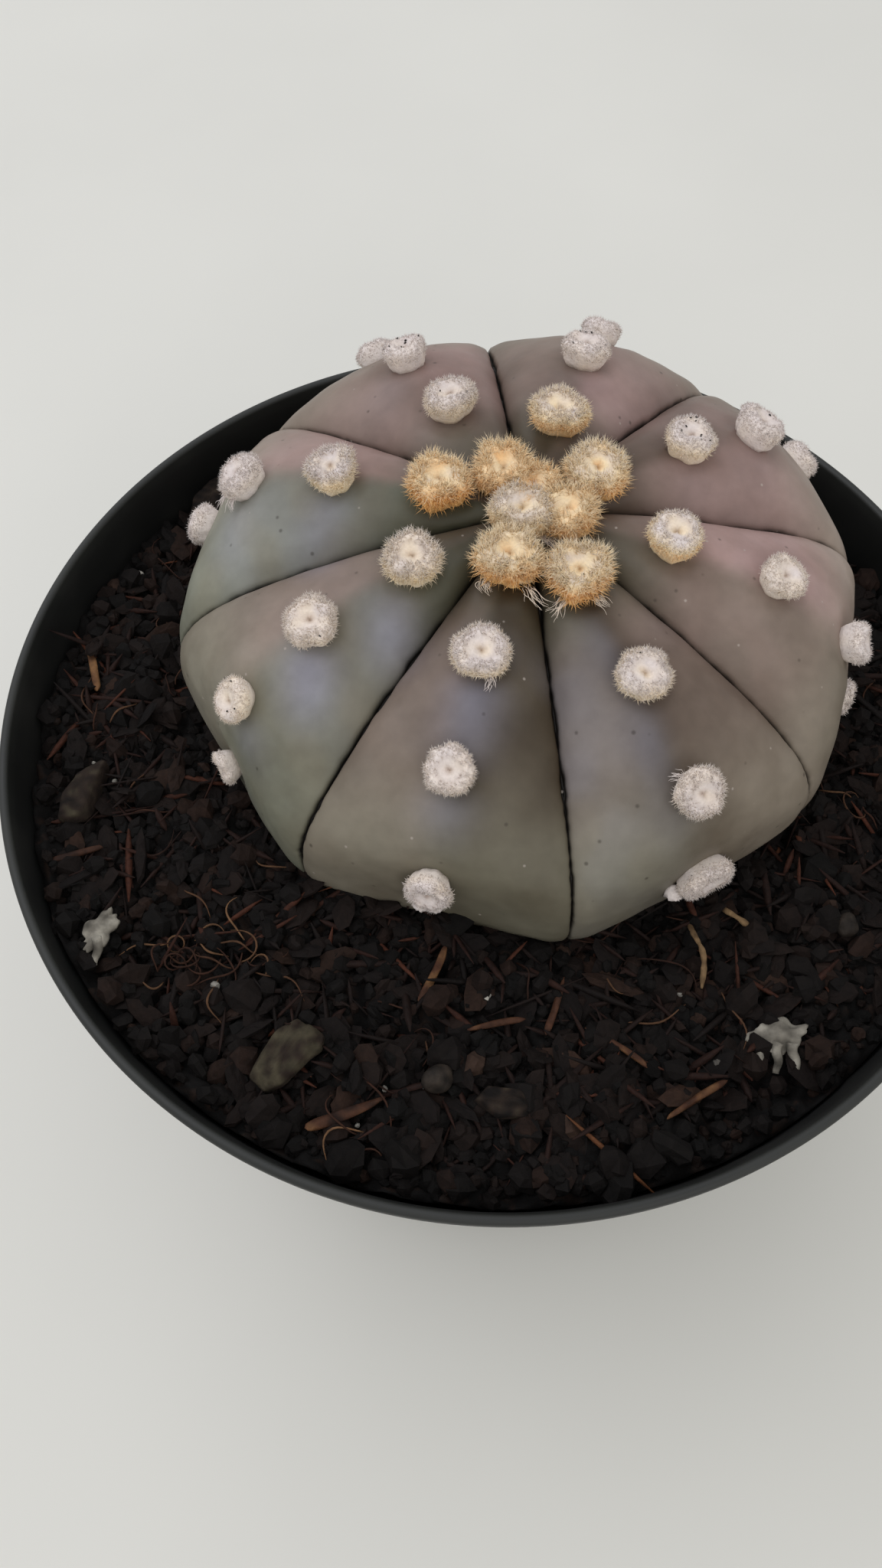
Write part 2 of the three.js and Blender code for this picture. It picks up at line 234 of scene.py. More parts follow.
def ripples(points, size, seed, waves=10):
    """The sum of sine waves about as long as size, in random directions, scaled to spread 1."""
    rng = np.random.default_rng(seed)
    directions = rng.normal(size=(waves, 3))
    directions /= np.linalg.norm(directions, axis=1)[:, None]
    per_wave = TAU / (size * rng.uniform(0.7, 1.5, waves))
    phases = rng.uniform(0, TAU, waves)
    return np.sin(points @ (directions * per_wave[:, None]).T + phases).sum(-1) / np.sqrt(waves / 2)


def unit(vectors):
    """The vectors, each at length one."""
    return vectors / np.maximum(np.linalg.norm(vectors, axis=-1), 1e-9)[..., None]


def smooth_step(value, low, high):
    """A smooth rise from 0 at low to 1 at high: three times t squared less twice t cubed."""
    t = np.clip((value - low) / (high - low), 0, 1)
    return t * t * (3 - 2 * t)


def strand(path, radii, sides=5):
    """A closed round strand along a path (n, 3), with a radius at each of its points."""
    along = unit(np.gradient(path, axis=0))
    across = unit(np.cross(along, [0.3, 0.2, 1.0]))
    over = np.cross(along, across)
    angle = TAU * np.arange(sides) / sides
    ring = np.cos(angle)[:, None] * across[:, None] + np.sin(angle)[:, None] * over[:, None]
    return closed_tube(path[:, None] + np.asarray(radii)[:, None, None] * ring)


def curl(start, heading, reach, bend, seed, points):
    """A path from start along a heading, in radians, whose heading turns evenly by bend."""
    rng = np.random.default_rng(seed)
    t = np.linspace(0, 1, points)
    turn = heading + bend * t + 0.35 * np.sin(TAU * t * rng.uniform(0.6, 1.4) + rng.uniform(0, 6))
    step = reach / points
    flat = np.cumsum(np.stack([np.cos(turn), np.sin(turn)], -1) * step, axis=0)
    lift = 0.5 * np.sin(np.pi * t) * rng.uniform(0.6, 2.4)
    return np.asarray(start) + np.concatenate([flat, lift[:, None]], 1)


def pose_of(node):
    """A CAD node's middle, its axes as columns from its longest to its thinnest, and its sizes
    along them, in mm. The thinnest axis points up."""
    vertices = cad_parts[node].data.vertices
    flat = np.empty(len(vertices) * 3)
    vertices.foreach_get("co", flat)
    points = np.unique((flat.reshape(-1, 3) / MM).round(3), axis=0)
    _, _, axes = np.linalg.svd(points - points.mean(0), full_matrices=False)
    thin = axes[2] * np.sign(axes[2, 2])
    long = axes[0] * np.sign(axes[0, 0])
    axes = np.stack([long, np.cross(thin, long), thin], -1)
    along = (points - points.mean(0)) @ axes
    low, high = along.min(0), along.max(0)
    return points.mean(0) + axes @ ((low + high) / 2), axes, high - low


# ---------------------------------------------------------------- making pieces


def put_at(shape, pose):
    """A shape made in a CAD node's own axes, moved to where the node is."""
    middle, axes, _ = pose
    return outward(shape._replace(vertices=shape.vertices @ axes.T + middle))


def new_object(name, shape):
    """An object at the origin that holds the shape as a mesh, in metres."""
    mesh = bpy.data.meshes.new(name)
    faces = shape.quads.tolist() + shape.triangles.tolist()
    mesh.from_pydata((shape.vertices * MM).tolist(), [], faces)
    made = bpy.data.objects.new(name, mesh)
    bpy.context.scene.collection.objects.link(made)
    return made


def add_piece(name, shape, materials, nodes=(), fields=None, face_material=None, flat=False):
    """Makes a piece with a float attribute for each field and its materials, puts it on the root
    body, and hides the CAD parts that it stands for."""
    piece = new_object(name, shape)
    mesh = piece.data
    for field, values in (fields or {}).items():
        attribute = mesh.attributes.new(field, "FLOAT", "POINT")
        attribute.data.foreach_set("value", np.asarray(values, np.float32))
    for material in materials:
        mesh.materials.append(material)
    if face_material is not None:
        mesh.polygons.foreach_set("material_index", face_material.astype(np.int32))
    mesh.polygons.foreach_set("use_smooth", [not flat] * len(mesh.polygons))
    mesh.update()
    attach(piece, "root")
    if nodes:
        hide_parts(*nodes)
    return piece


def add_node(tree, kind, inputs=None, stops=None, **settings):
    """Adds a node with its settings, its colour stops, and its inputs as values or links."""
    node = tree.nodes.new(kind)
    for key, value in settings.items():
        setattr(node, key, value)
    if stops:
        ramp = node.color_ramp
        while len(ramp.elements) < len(stops):
            ramp.elements.new(1)
        for element, (position, stop) in zip(ramp.elements, stops):
            element.position = position
            element.color = stop if len(stop) == 4 else (*stop, 1)
    for socket, value in (inputs or {}).items():
        if isinstance(value, bpy.types.NodeSocket):
            tree.links.new(value, node.inputs[socket])
        else:
            node.inputs[socket].default_value = value
    return node


def new_material(name):
    """A material, its node tree and its shader."""
    material = bpy.data.materials.new(name)
    material.use_nodes = True
    return material, material.node_tree, material.node_tree.nodes["Principled BSDF"]


FACTOR, A, B, MIXED = 0, 6, 7, 2  # sockets of a colour Mix node


# ---------------------------------------------------------------- materials


def cactus_skin(plant):
    """Waxy cactus epidermis: umber where young and olive where old, then flushed mauve, greened
    or darkened face by face, with a blue-grey sheen below the tufts, almost black creases,
    freckles and pale specks, and satin rather than glossy. The mauve is partly painted light,
    the green partly painted sheen, the darkening painted shade, the blue-grey sheen painted, and
    the black of the creases painted shade."""
    material, tree, shader = new_material("waxy_cactus_epidermis")
    place = add_node(tree, "ShaderNodeTexCoord").outputs["Object"]
    masks = {
        name: add_node(tree, "ShaderNodeAttribute", attribute_name=name).outputs["Fac"]
        for name in ("age", "flush", "green_and_painted_sheen", "painted_sheen", "shade", "furrow")
    }
    # Clouds in the pigment 9 mm across, and pebbling of the skin 1.6 mm across.
    clouds, pebbling = (
        add_node(
            tree, "ShaderNodeTexNoise", {"Vector": place, "Scale": 1 / (size * MM), "Detail": 4.0}
        ).outputs["Fac"]
        for size in (9, 1.6)
    )
    # Layers over the young umber: old olive, mauve that is partly painted light, green that is
    # partly painted sheen, painted shade, and last the painted sheen.
    skin = (*plant.umber, 1)
    for mask, layer in (("age", plant.olive), ("flush", plant.mauve), ("green_and_painted_sheen", plant.green_and_painted_sheen),
                        ("shade", plant.dark), ("painted_sheen", plant.painted_sheen)):
        skin = add_node(
            tree, "ShaderNodeMix", {FACTOR: masks[mask], A: skin, B: (*layer, 1)},
            data_type="RGBA",
        ).outputs[MIXED]
    cloudy = add_node(
        tree, "ShaderNodeValToRGB", {0: clouds},
        stops=[(0.3, rgba("#dcd8d4")), (0.65, rgba("#ffffff"))],
    )
    skin = add_node(
        tree, "ShaderNodeMix", {FACTOR: 1.0, A: skin, B: cloudy.outputs[0]},
        data_type="RGBA", blend_type="MULTIPLY",
    ).outputs[MIXED]
    # Painted shade in a crease: almost black at its middle, and gone 0.3 mm to each side.
    crease = add_node(
        tree, "ShaderNodeMapRange",
        {"Value": masks["furrow"], "From Min": 0.04, "From Max": 0.30, "To Min": 1.0,
         "To Max": 0.0},
        interpolation_type="SMOOTHSTEP",
    )
    skin = add_node(
        tree, "ShaderNodeMix", {FACTOR: crease.outputs[0], A: skin, B: rgba("#15120f")},
        data_type="RGBA",
    ).outputs[MIXED]
    # Dots, one in some of the cells: the cell's width in mm, the share of it where the dot
    # ends, how strong and how rare the dots are, and their colour. Freckles are pores 0.2 mm
    # across, drawn twice as wide so that they show. Stray wool and lime are smaller and rarer.
    for spacing, edge, strength, rarity, dot_colour in (
        (2.4, 0.13, 0.55, 0.62, "#2e2620"), (1.9, 0.11, 0.60, 0.74, "#b3a9a0")
    ):
        cells = add_node(
            tree, "ShaderNodeTexVoronoi", {"Vector": place, "Scale": 1 / (spacing * MM)}
        )
        disc = add_node(
            tree, "ShaderNodeMapRange",
            {"Value": cells.outputs["Distance"], "From Min": 0.05, "From Max": edge,
             "To Min": strength, "To Max": 0.0},
        )
        kept = add_node(
            tree, "ShaderNodeMath", {0: cells.outputs["Color"], 1: rarity},
            operation="GREATER_THAN",
        )
        cover = add_node(
            tree, "ShaderNodeMath", {0: disc.outputs[0], 1: kept.outputs[0]},
            operation="MULTIPLY",
        )
        skin = add_node(
            tree, "ShaderNodeMix", {FACTOR: cover.outputs[0], A: skin, B: rgba(dot_colour)},
            data_type="RGBA",
        ).outputs[MIXED]
    mottled = add_node(
        tree, "ShaderNodeValToRGB", {0: pebbling}, stops=[(0.3, grey(0.9)), (0.7, grey(1.0))]
    )
    skin = add_node(
        tree, "ShaderNodeMix", {FACTOR: 1.0, A: skin, B: mottled.outputs[0]},
        data_type="RGBA", blend_type="MULTIPLY",
    ).outputs[MIXED]
    rough = add_node(
        tree, "ShaderNodeMapRange", {"Value": pebbling, "To Min": 0.36, "To Max": 0.56}
    )
    bump = add_node(
        tree, "ShaderNodeBump", {"Strength": 0.35, "Distance": 0.12 * MM, "Height": pebbling}
    )
    tree.links.new(skin, shader.inputs["Base Color"])
    tree.links.new(rough.outputs[0], shader.inputs["Roughness"])
    tree.links.new(bump.outputs[0], shader.inputs["Normal"])
    shader.inputs["IOR"].default_value = 1.45
    shader.inputs["Specular IOR Level"].default_value = 0.27
    return material


def plant_wool(wool):
    """Felted plant wool: fibres too fine to see one by one, so it is rough and softly lit, paler
    towards the top and ochre where it is fresh, with painted shade in each tuft's dimple."""
    material, tree, shader = new_material("felted_plant_wool")
    place = add_node(tree, "ShaderNodeTexCoord").outputs["Object"]
    tone = add_node(tree, "ShaderNodeAttribute", attribute_name="tone").outputs["Fac"]
    # The hollow mask is painted shade in the dimple on top of each tuft and in a ring round it.
    hollow = add_node(tree, "ShaderNodeAttribute", attribute_name="hollow").outputs["Fac"]
    felt = add_node(
        tree, "ShaderNodeTexNoise", {"Vector": place, "Scale": 1 / (0.3 * MM), "Detail": 6.0}
    )
    base = add_node(
        tree, "ShaderNodeValToRGB", {0: tone},
        stops=[(0.0, (*wool.white, 1)), (0.45, (*wool.cream, 1)), (1.0, (*wool.ochre, 1))],
    )
    streaks = add_node(
        tree, "ShaderNodeValToRGB", {0: felt.outputs["Fac"]},
        stops=[(0.3, grey(0.86)), (0.62, grey(1.0))],
    )
    felted = add_node(
        tree, "ShaderNodeMix", data_type="RGBA", blend_type="MULTIPLY",
        inputs={FACTOR: 0.8, A: base.outputs[0], B: streaks.outputs[0]},
    )
    final = add_node(
        tree, "ShaderNodeMix", data_type="RGBA", blend_type="MULTIPLY",
        inputs={FACTOR: hollow, A: felted.outputs[MIXED], B: rgba("#a38f80")},
    )
    bump = add_node(
        tree, "ShaderNodeBump",
        {"Strength": 0.8, "Distance": 0.12 * MM, "Height": felt.outputs["Fac"]},
    )
    tree.links.new(final.outputs[MIXED], shader.inputs["Base Color"])
    tree.links.new(bump.outputs[0], shader.inputs["Normal"])
    shader.inputs["Roughness"].default_value = 0.95
    shader.inputs["Specular IOR Level"].default_value = 0.15
    return material


def dry_scale():
    """Dried brown scale: small dead flecks caught in the wool, nearly black and dull."""
    material, _, shader = new_material("dried_scale")
    shader.inputs["Base Color"].default_value = rgba("#1d1712")
    shader.inputs["Roughness"].default_value = 0.8
    return material


def litter(name, stops, grain_mm, roughness=0.85):
    """Bark, peat or wood: each bit has its own colour from the stops, by its tint, with grain
    at the given size, and is dull."""
    material, tree, shader = new_material(name)
    place = add_node(tree, "ShaderNodeTexCoord").outputs["Object"]
    tint = add_node(tree, "ShaderNodeAttribute", attribute_name="tint").outputs["Fac"]
    grain = add_node(
        tree, "ShaderNodeTexNoise", {"Vector": place, "Scale": 1 / (grain_mm * MM), "Detail": 6.0}
    )
    base = add_node(tree, "ShaderNodeValToRGB", {0: tint}, stops=stops)
    dirt = add_node(
        tree, "ShaderNodeValToRGB", {0: grain.outputs["Fac"]},
        stops=[(0.3, grey(0.45)), (0.65, grey(1.0))],
    )
    final = add_node(
        tree, "ShaderNodeMix", data_type="RGBA", blend_type="MULTIPLY",
        inputs={FACTOR: 0.8, A: base.outputs[0], B: dirt.outputs[0]},
    )
    bump = add_node(
        tree, "ShaderNodeBump",
        {"Strength": 0.7, "Distance": 0.3 * grain_mm * MM, "Height": grain.outputs["Fac"]},
    )
    tree.links.new(final.outputs[MIXED], shader.inputs["Base Color"])
    tree.links.new(bump.outputs[0], shader.inputs["Normal"])
    shader.inputs["Roughness"].default_value = roughness
    shader.inputs["Specular IOR Level"].default_value = 0.18
    return material


def pot_plastic(pot):
    """Injection moulded black polypropylene: satin, a little greener and greyer where the lip
    has been scuffed, with faint dust and scratches."""
    material, tree, shader = new_material("moulded_black_polypropylene")
    place = add_node(tree, "ShaderNodeTexCoord").outputs["Object"]
    height = add_node(tree, "ShaderNodeSeparateXYZ", {0: place}).outputs["Z"]
    dust = add_node(
        tree, "ShaderNodeTexNoise", {"Vector": place, "Scale": 1 / (9 * MM), "Detail": 8.0}
    )
    grain = add_node(
        tree, "ShaderNodeTexNoise", {"Vector": place, "Scale": 1 / (0.5 * MM), "Detail": 3.0}
    )
    lip = add_node(
        tree, "ShaderNodeMapRange",
        inputs={"Value": height, "From Min": (POT_HEIGHT - 2) * MM,
                "From Max": (POT_HEIGHT + 0.2) * MM, "To Min": 0.0, "To Max": 0.8},
    )
    worn = add_node(
        tree, "ShaderNodeMath", {0: lip.outputs[0], 1: dust.outputs["Fac"]}, operation="MULTIPLY"
    )
    scuffed = add_node(
        tree, "ShaderNodeMix", data_type="RGBA",
        inputs={FACTOR: worn.outputs[0], A: (*pot.plastic, 1), B: (*pot.scuffed, 1)},
    )
    film = add_node(
        tree, "ShaderNodeMapRange",
        inputs={"Value": dust.outputs["Fac"], "From Min": 0.5, "From Max": 0.85, "To Min": 0.0,
                "To Max": 0.25},
    )
    final = add_node(
        tree, "ShaderNodeMix", data_type="RGBA",
        inputs={FACTOR: film.outputs[0], A: scuffed.outputs[MIXED], B: rgba("#33312c")},
    )
    rough = add_node(
        tree, "ShaderNodeMapRange",
        inputs={"Value": dust.outputs["Fac"], "To Min": 0.45, "To Max": 0.7},
    )
    bump = add_node(
        tree, "ShaderNodeBump",
        {"Strength": 0.25, "Distance": 0.05 * MM, "Height": grain.outputs["Fac"]},
    )
    tree.links.new(final.outputs[MIXED], shader.inputs["Base Color"])
    tree.links.new(rough.outputs[0], shader.inputs["Roughness"])
    tree.links.new(bump.outputs[0], shader.inputs["Normal"])
    shader.inputs["IOR"].default_value = 1.49
    return material


def floor_finish(stage):
    """Honed pale stone tile: plain, matt, with the faintest clouding."""
    material, tree, shader = new_material("honed_pale_tile")
    place = add_node(tree, "ShaderNodeTexCoord").outputs["Object"]
    cloud = add_node(
        tree, "ShaderNodeTexNoise", {"Vector": place, "Scale": 1 / 0.16, "Detail": 4.0}
    )
    tint = add_node(
        tree, "ShaderNodeValToRGB", {0: cloud.outputs["Fac"]},
        stops=[(0.3, (*(0.93 * np.array(stage.floor)), 1)), (0.7, (*stage.floor, 1))],
    )
    tree.links.new(tint.outputs[0], shader.inputs["Base Color"])
    shader.inputs["Roughness"].default_value = 0.6
    return material


# ---------------------------------------------------------------- pot

POT_COLUMNS = 256
POT_HEIGHT = 92.0
RIM_RADIUS = 60.0
POT_WALL = 1.2
FOOT_RADIUS = 45.0
FOOT_WIDTH = 4.0
FOOT_HEIGHT = 2.5
FLOOR_TOP = 4.2
BAND_HEIGHT = 9.0
BAND_LEAN = 1.1  # how much narrower the band is at its lower edge
BAND_STEP = 0.6  # height of the rounded step from the wall to the band
FOOT_EDGE = 0.8  # rounding of the foot's outer edge
FLOOR_CORNER = 1.6  # rounding between the floor and the wall
HUB_RADIUS = 0.4  # the section starts and ends this far from the axis
DRAIN_CIRCLE_RADIUS = 28.0
DRAIN_RADIUS = 3.5
DRAIN_COUNT = 6


def pot_inner_radius(z):
    """Inner radius of the wall at a height: a straight taper from foot to lip."""
    return FOOT_RADIUS - POT_WALL + (RIM_RADIUS - FOOT_RADIUS) * z / POT_HEIGHT


def pot_profile():
    """Radius and height round the pot's section, from the middle of its underside, out and up
    the wall, over the round lip, and down inside to the middle of its floor."""
    quarter = np.linspace(0, np.pi / 2, 6)
    half = np.linspace(0, np.pi, 13)
    foot_in = FOOT_RADIUS - FOOT_WIDTH
    band_bottom = POT_HEIGHT - BAND_HEIGHT
    band = RIM_RADIUS - BAND_LEAN
    under_band = pot_inner_radius(band_bottom) + POT_WALL
    lip = POT_WALL / 2
    floor_out = pot_inner_radius(FLOOR_TOP) - FLOOR_CORNER
    underside = [(HUB_RADIUS, FOOT_HEIGHT), (foot_in - 0.6, FOOT_HEIGHT),
                 (foot_in - 0.15, FOOT_HEIGHT - 0.15), (foot_in, FOOT_HEIGHT - 0.6),
                 (foot_in, 0.3), (foot_in + 0.3, 0.0)]
    foot = [(FOOT_RADIUS - FOOT_EDGE * (1 - np.sin(a)), FOOT_EDGE * (1 - np.cos(a)))
            for a in quarter]
    wall = [(pot_inner_radius(z) + POT_WALL, z)
            for z in np.linspace(2, band_bottom - BAND_STEP, 40)]
    step = [(band - (band - under_band) * np.cos(a), band_bottom + BAND_STEP * np.sin(a))
            for a in quarter]
    side = [(band + (BAND_LEAN - 0.06) * t, band_bottom + 1.0 + (BAND_HEIGHT - 2.6) * t)
            for t in np.linspace(0, 1, 7)]
    rolled = [(RIM_RADIUS - lip + lip * np.cos(a), POT_HEIGHT - lip + lip * np.sin(a))
              for a in half]
    inside = [(pot_inner_radius(z), z)
              for z in np.linspace(POT_HEIGHT - 1.4, FLOOR_TOP + 2, 30)]
    corner = [(floor_out + FLOOR_CORNER * np.cos(a), FLOOR_TOP + FLOOR_CORNER * (1 - np.sin(a)))
              for a in quarter]
    floor = [(30.0, FLOOR_TOP), (HUB_RADIUS, FLOOR_TOP)]
    return np.array(underside + foot + wall + step + side + rolled + inside + corner + floor)


def drain_holes():
    """One upright cylinder for each drain hole, from inside the foot to above the floor."""
    around = TAU * (np.arange(DRAIN_COUNT) + 0.5) / DRAIN_COUNT
    middles = DRAIN_CIRCLE_RADIUS * np.stack([np.cos(around), np.sin(around), 0 * around], -1)
    circle = TAU * np.arange(28) / 28
    ring = DRAIN_RADIUS * np.stack([np.cos(circle), np.sin(circle), 0 * circle], -1)
    ends = np.array([[[0, 0, 1.0]], [[0, 0, FLOOR_TOP + 1.8]]])
    return joined([closed_tube(ends + ring + middle) for middle in middles])


def build_pot(settings):
    """The section turned about the pot's axis. Thin plastic is never quite round, so the wall
    wanders by a tenth of a millimetre. The drain holes are cut through the floor."""
    profile = pot_profile()
    bearing = TAU * np.arange(POT_COLUMNS) / POT_COLUMNS
    wander = 0.09 * np.sin(2 * bearing + 0.7) + 0.05 * np.sin(5 * bearing + 2.1)
    high = smooth_step(profile[:, 1], 8, 80)[:, None]
    radius = profile[:, :1] - high * (0.14 + wander)
    height = np.broadcast_to(profile[:, 1:], radius.shape)
    rings = np.stack([radius * np.cos(bearing), radius * np.sin(bearing), height], -1)
    pot = add_piece("nursery_pot", closed_tube(rings), [pot_plastic(settings)],
                    nodes=["pot"])
    cutter = new_object("drain_cutter", drain_holes())
    cut = pot.modifiers.new("drain holes", "BOOLEAN")
    cut.object, cut.operation, cut.solver = cutter, "DIFFERENCE", "EXACT"
    bpy.context.view_layer.update()
    cut_mesh = bpy.data.meshes.new_from_object(
        pot.evaluated_get(bpy.context.evaluated_depsgraph_get())
    )
    pot.modifiers.remove(cut)
    pot.data = cut_mesh
    cut_mesh.set_sharp_from_angle(angle=np.radians(50))
    bpy.data.objects.remove(cutter)


# ---------------------------------------------------------------- plant

CREST_POWER = 3.0
FURROW_POWER = 0.9
CROWN_HOLLOW = (1.0, 6.0)  # depth and radius of the hollow that the youngest wool grows in
CREST_ROUNDING = 0.24  # share of the way to the furrow over which a crest is rounded
UNDERSIDE_DEPTH = 15.0
UNDERSIDE_POWER = 0.8
TAPROOT = (12.0, 40.0, 2.5)  # radius at the top, length, radius at the tip
# Where each rib's crest lies, in degrees from the right, as seen from above.
BEARINGS = np.array([-101.5, -57.5, -11.5, 32.0, 76.5, 121.5, 168.5, 215.0])
# Rings of the body's grid down the dome, round the underside and down the taproot, and its
# columns from each crest to a furrow.
DOME_RINGS, UNDER_RINGS, ROOT_RINGS, HALF_RIB_COLUMNS = 120, 24, 8, 30
RING_CROWD, COLUMN_CROWD = 1.2, 1.9  # powers that crowd them at the crown and at the furrows
# The black along each furrow is painted crease shade.
CLEAR_OF_FURROW = 5.0  # a distance from a furrow, in mm, at which no black of it is left


class Plant:
    """The body's surface, in mm, from the settings: a crest is a superellipse of power 3 from
    the crown to the widest circle; towards a furrow the power falls to 0.9, which sinks the
    skin, and the radius grows to the corner's; below the widest circle the underside turns in
    and down to a tapering taproot."""

    def __init__(self, plant):
        self.centre = np.array(plant.centre) / MM
        lean = plant.lean
        self.turn = np.array(
            [[1, 0, 0], [0, np.cos(lean), -np.sin(lean)], [0, np.sin(lean), np.cos(lean)]]
        )
        self.crest = plant.crest_radius / MM
        self.corner = plant.corner_radius / MM
        self.height = plant.dome_height / MM
        self.crease_depth = plant.crease_depth / MM
        self.crease_width = plant.crease_width / MM

    def surface(self, angle, bearing, away):
        """Points at angles down from the crown, bearings, and shares of the way from crest to
        furrow. Past a half turn the angle runs down the taproot."""
        widest = self.crest + (self.corner - self.crest) * smooth_step(away, 0, 1)
        share = np.sin(np.minimum(angle, np.pi / 2)) ** (2 / CREST_POWER)
        fall = np.hypot(away, CREST_ROUNDING) - CREST_ROUNDING
        fall /= np.hypot(1, CREST_ROUNDING) - CREST_ROUNDING
        power = CREST_POWER + (FURROW_POWER - CREST_POWER) * fall
        dome = self.height * np.maximum(1 - share**power, 0) ** (1 / CREST_POWER)
        dome_radius = widest * share
        hollow_depth, hollow_radius = CROWN_HOLLOW
        dome -= hollow_depth * np.exp(-((dome_radius / hollow_radius) ** 2))
        under = np.clip(angle - np.pi / 2, 0, np.pi / 2)
        top, depth, tip = TAPROOT
        under_radius = top + (widest - top) * np.abs(np.cos(under)) ** UNDERSIDE_POWER
        down = np.clip(angle / np.pi - 1, 0, 1)
        under_radius = np.where(down > 0, top + (tip - top) * down, under_radius)
        under_height = -UNDERSIDE_DEPTH * np.sin(under) - depth * down
        radius = np.where(angle <= np.pi / 2, dome_radius, under_radius)
        height = np.where(angle <= np.pi / 2, dome, under_height)
        return np.stack([radius * np.cos(bearing), radius * np.sin(bearing), height], -1)

    def placed(self, points):
        """Points leaned with the plant and moved to its place."""
        return points @ self.turn.T + self.centre

    def underside(self, distance):
        """Height of the underside at a distance from the plant's axis."""
        top = TAPROOT[0]
        share = np.clip((distance - top) / (self.crest - top), 0, 1) ** (1 / UNDERSIDE_POWER)
        return self.centre[2] - UNDERSIDE_DEPTH * np.sqrt(1 - share**2)


def rib_columns():
    """Bearing, share of the way from crest to furrow, side, rib, and half the rib's width in
    radians, for each column of the body's grid. Columns crowd together towards the furrows."""
    count = len(BEARINGS)
    before = np.roll(BEARINGS, 1) - np.array([360] + [0] * (count - 1))
    after = np.roll(BEARINGS, -1) + np.array([0] * (count - 1) + [360])
    part = np.arange(HALF_RIB_COLUMNS) / HALF_RIB_COLUMNS
    inwards, outwards = 1 - part**COLUMN_CROWD, 1 - (1 - part) ** COLUMN_CROWD
    away = np.concatenate([inwards, outwards])
    side = np.repeat([-1.0, 1.0], HALF_RIB_COLUMNS)
    reach = np.where(side < 0, (before - BEARINGS)[:, None] / 2, (after - BEARINGS)[:, None] / 2)
    bearing = np.radians(BEARINGS[:, None] + reach * away)
    columns = (bearing, away, side, np.arange(count)[:, None], np.radians(np.abs(reach)))
    return (np.broadcast_to(column, bearing.shape).ravel() for column in columns)


# The two faces of each rib, the one on the clockwise side first: how flushed, which is partly
# the skin's own mauve and partly painted light, how green, which is partly painted sheen, how
# dark with painted shade, and how much painted sheen each has.
RIB_FACES = [
    [(0.46, 0.04, 0.32, 0.02), (0.12, 0.06, 0.70, 0.00)],
    [(0.28, 0.12, 0.32, 0.18), (0.50, 0.00, 0.34, 0.00)],
    [(0.64, 0.16, 0.28, 0.00), (1.00, 0.00, 0.00, 0.04)],
    [(0.95, 0.00, 0.24, 0.02), (0.78, 0.00, 0.54, 0.00)],
    [(0.86, 0.00, 0.28, 0.02), (0.62, 0.10, 0.42, 0.00)],
    [(0.92, 0.00, 0.36, 0.00), (0.70, 0.05, 0.34, 0.00)],
    [(0.86, 0.00, 0.06, 0.03), (0.08, 0.34, 0.08, 0.16)],
    [(0.46, 0.06, 0.14, 0.04), (0.14, 0.32, 0.24, 0.08)],
]
# How much painted shade lies along each rib's crest.
CREST_SHADE = np.array([0.0, 0.36, 0.0, 0.1, 0.0, 0.0, 0.0, 0.0])
# The way that the painted sheen runs from a tuft, and how strong it is on each rib.
SHEEN_WAY = unit(np.array([-0.12, -0.92, -0.25]))
RIB_SHEEN = np.array([0.48, 0.10, 0.0, 0.05, 0.12, 0.12, 0.25, 0.62])


def tuft_marks(plant, placed):
    """What the tufts do to the skin at each point: how far it is raised, by a seat sunk under
    each tuft inside a low swell, and how far into the strip of painted sheen below a tuft it is."""
    raised, halo = np.zeros(placed.shape[:2]), np.zeros(placed.shape[:2])
    for tuft in TUFTS:
        point, _, _ = tuft_seat(plant, tuft)
        gap = np.linalg.norm(placed - point, axis=-1)
        raised -= 0.25 * np.exp(-((gap / 3.0) ** 2))
        raised += 0.16 * np.exp(-(((gap - 4.6) / 1.5) ** 2))
        below = (placed - point) @ SHEEN_WAY
        sideways = np.linalg.norm((placed - point) - below[..., None] * SHEEN_WAY, axis=-1)
        strip = smooth_step(below, 0, 5) * (1 - smooth_step(below, 6, 15))
        halo = np.maximum(halo, np.exp(-((sideways / 3.2) ** 2)) * strip)
    return raised, halo


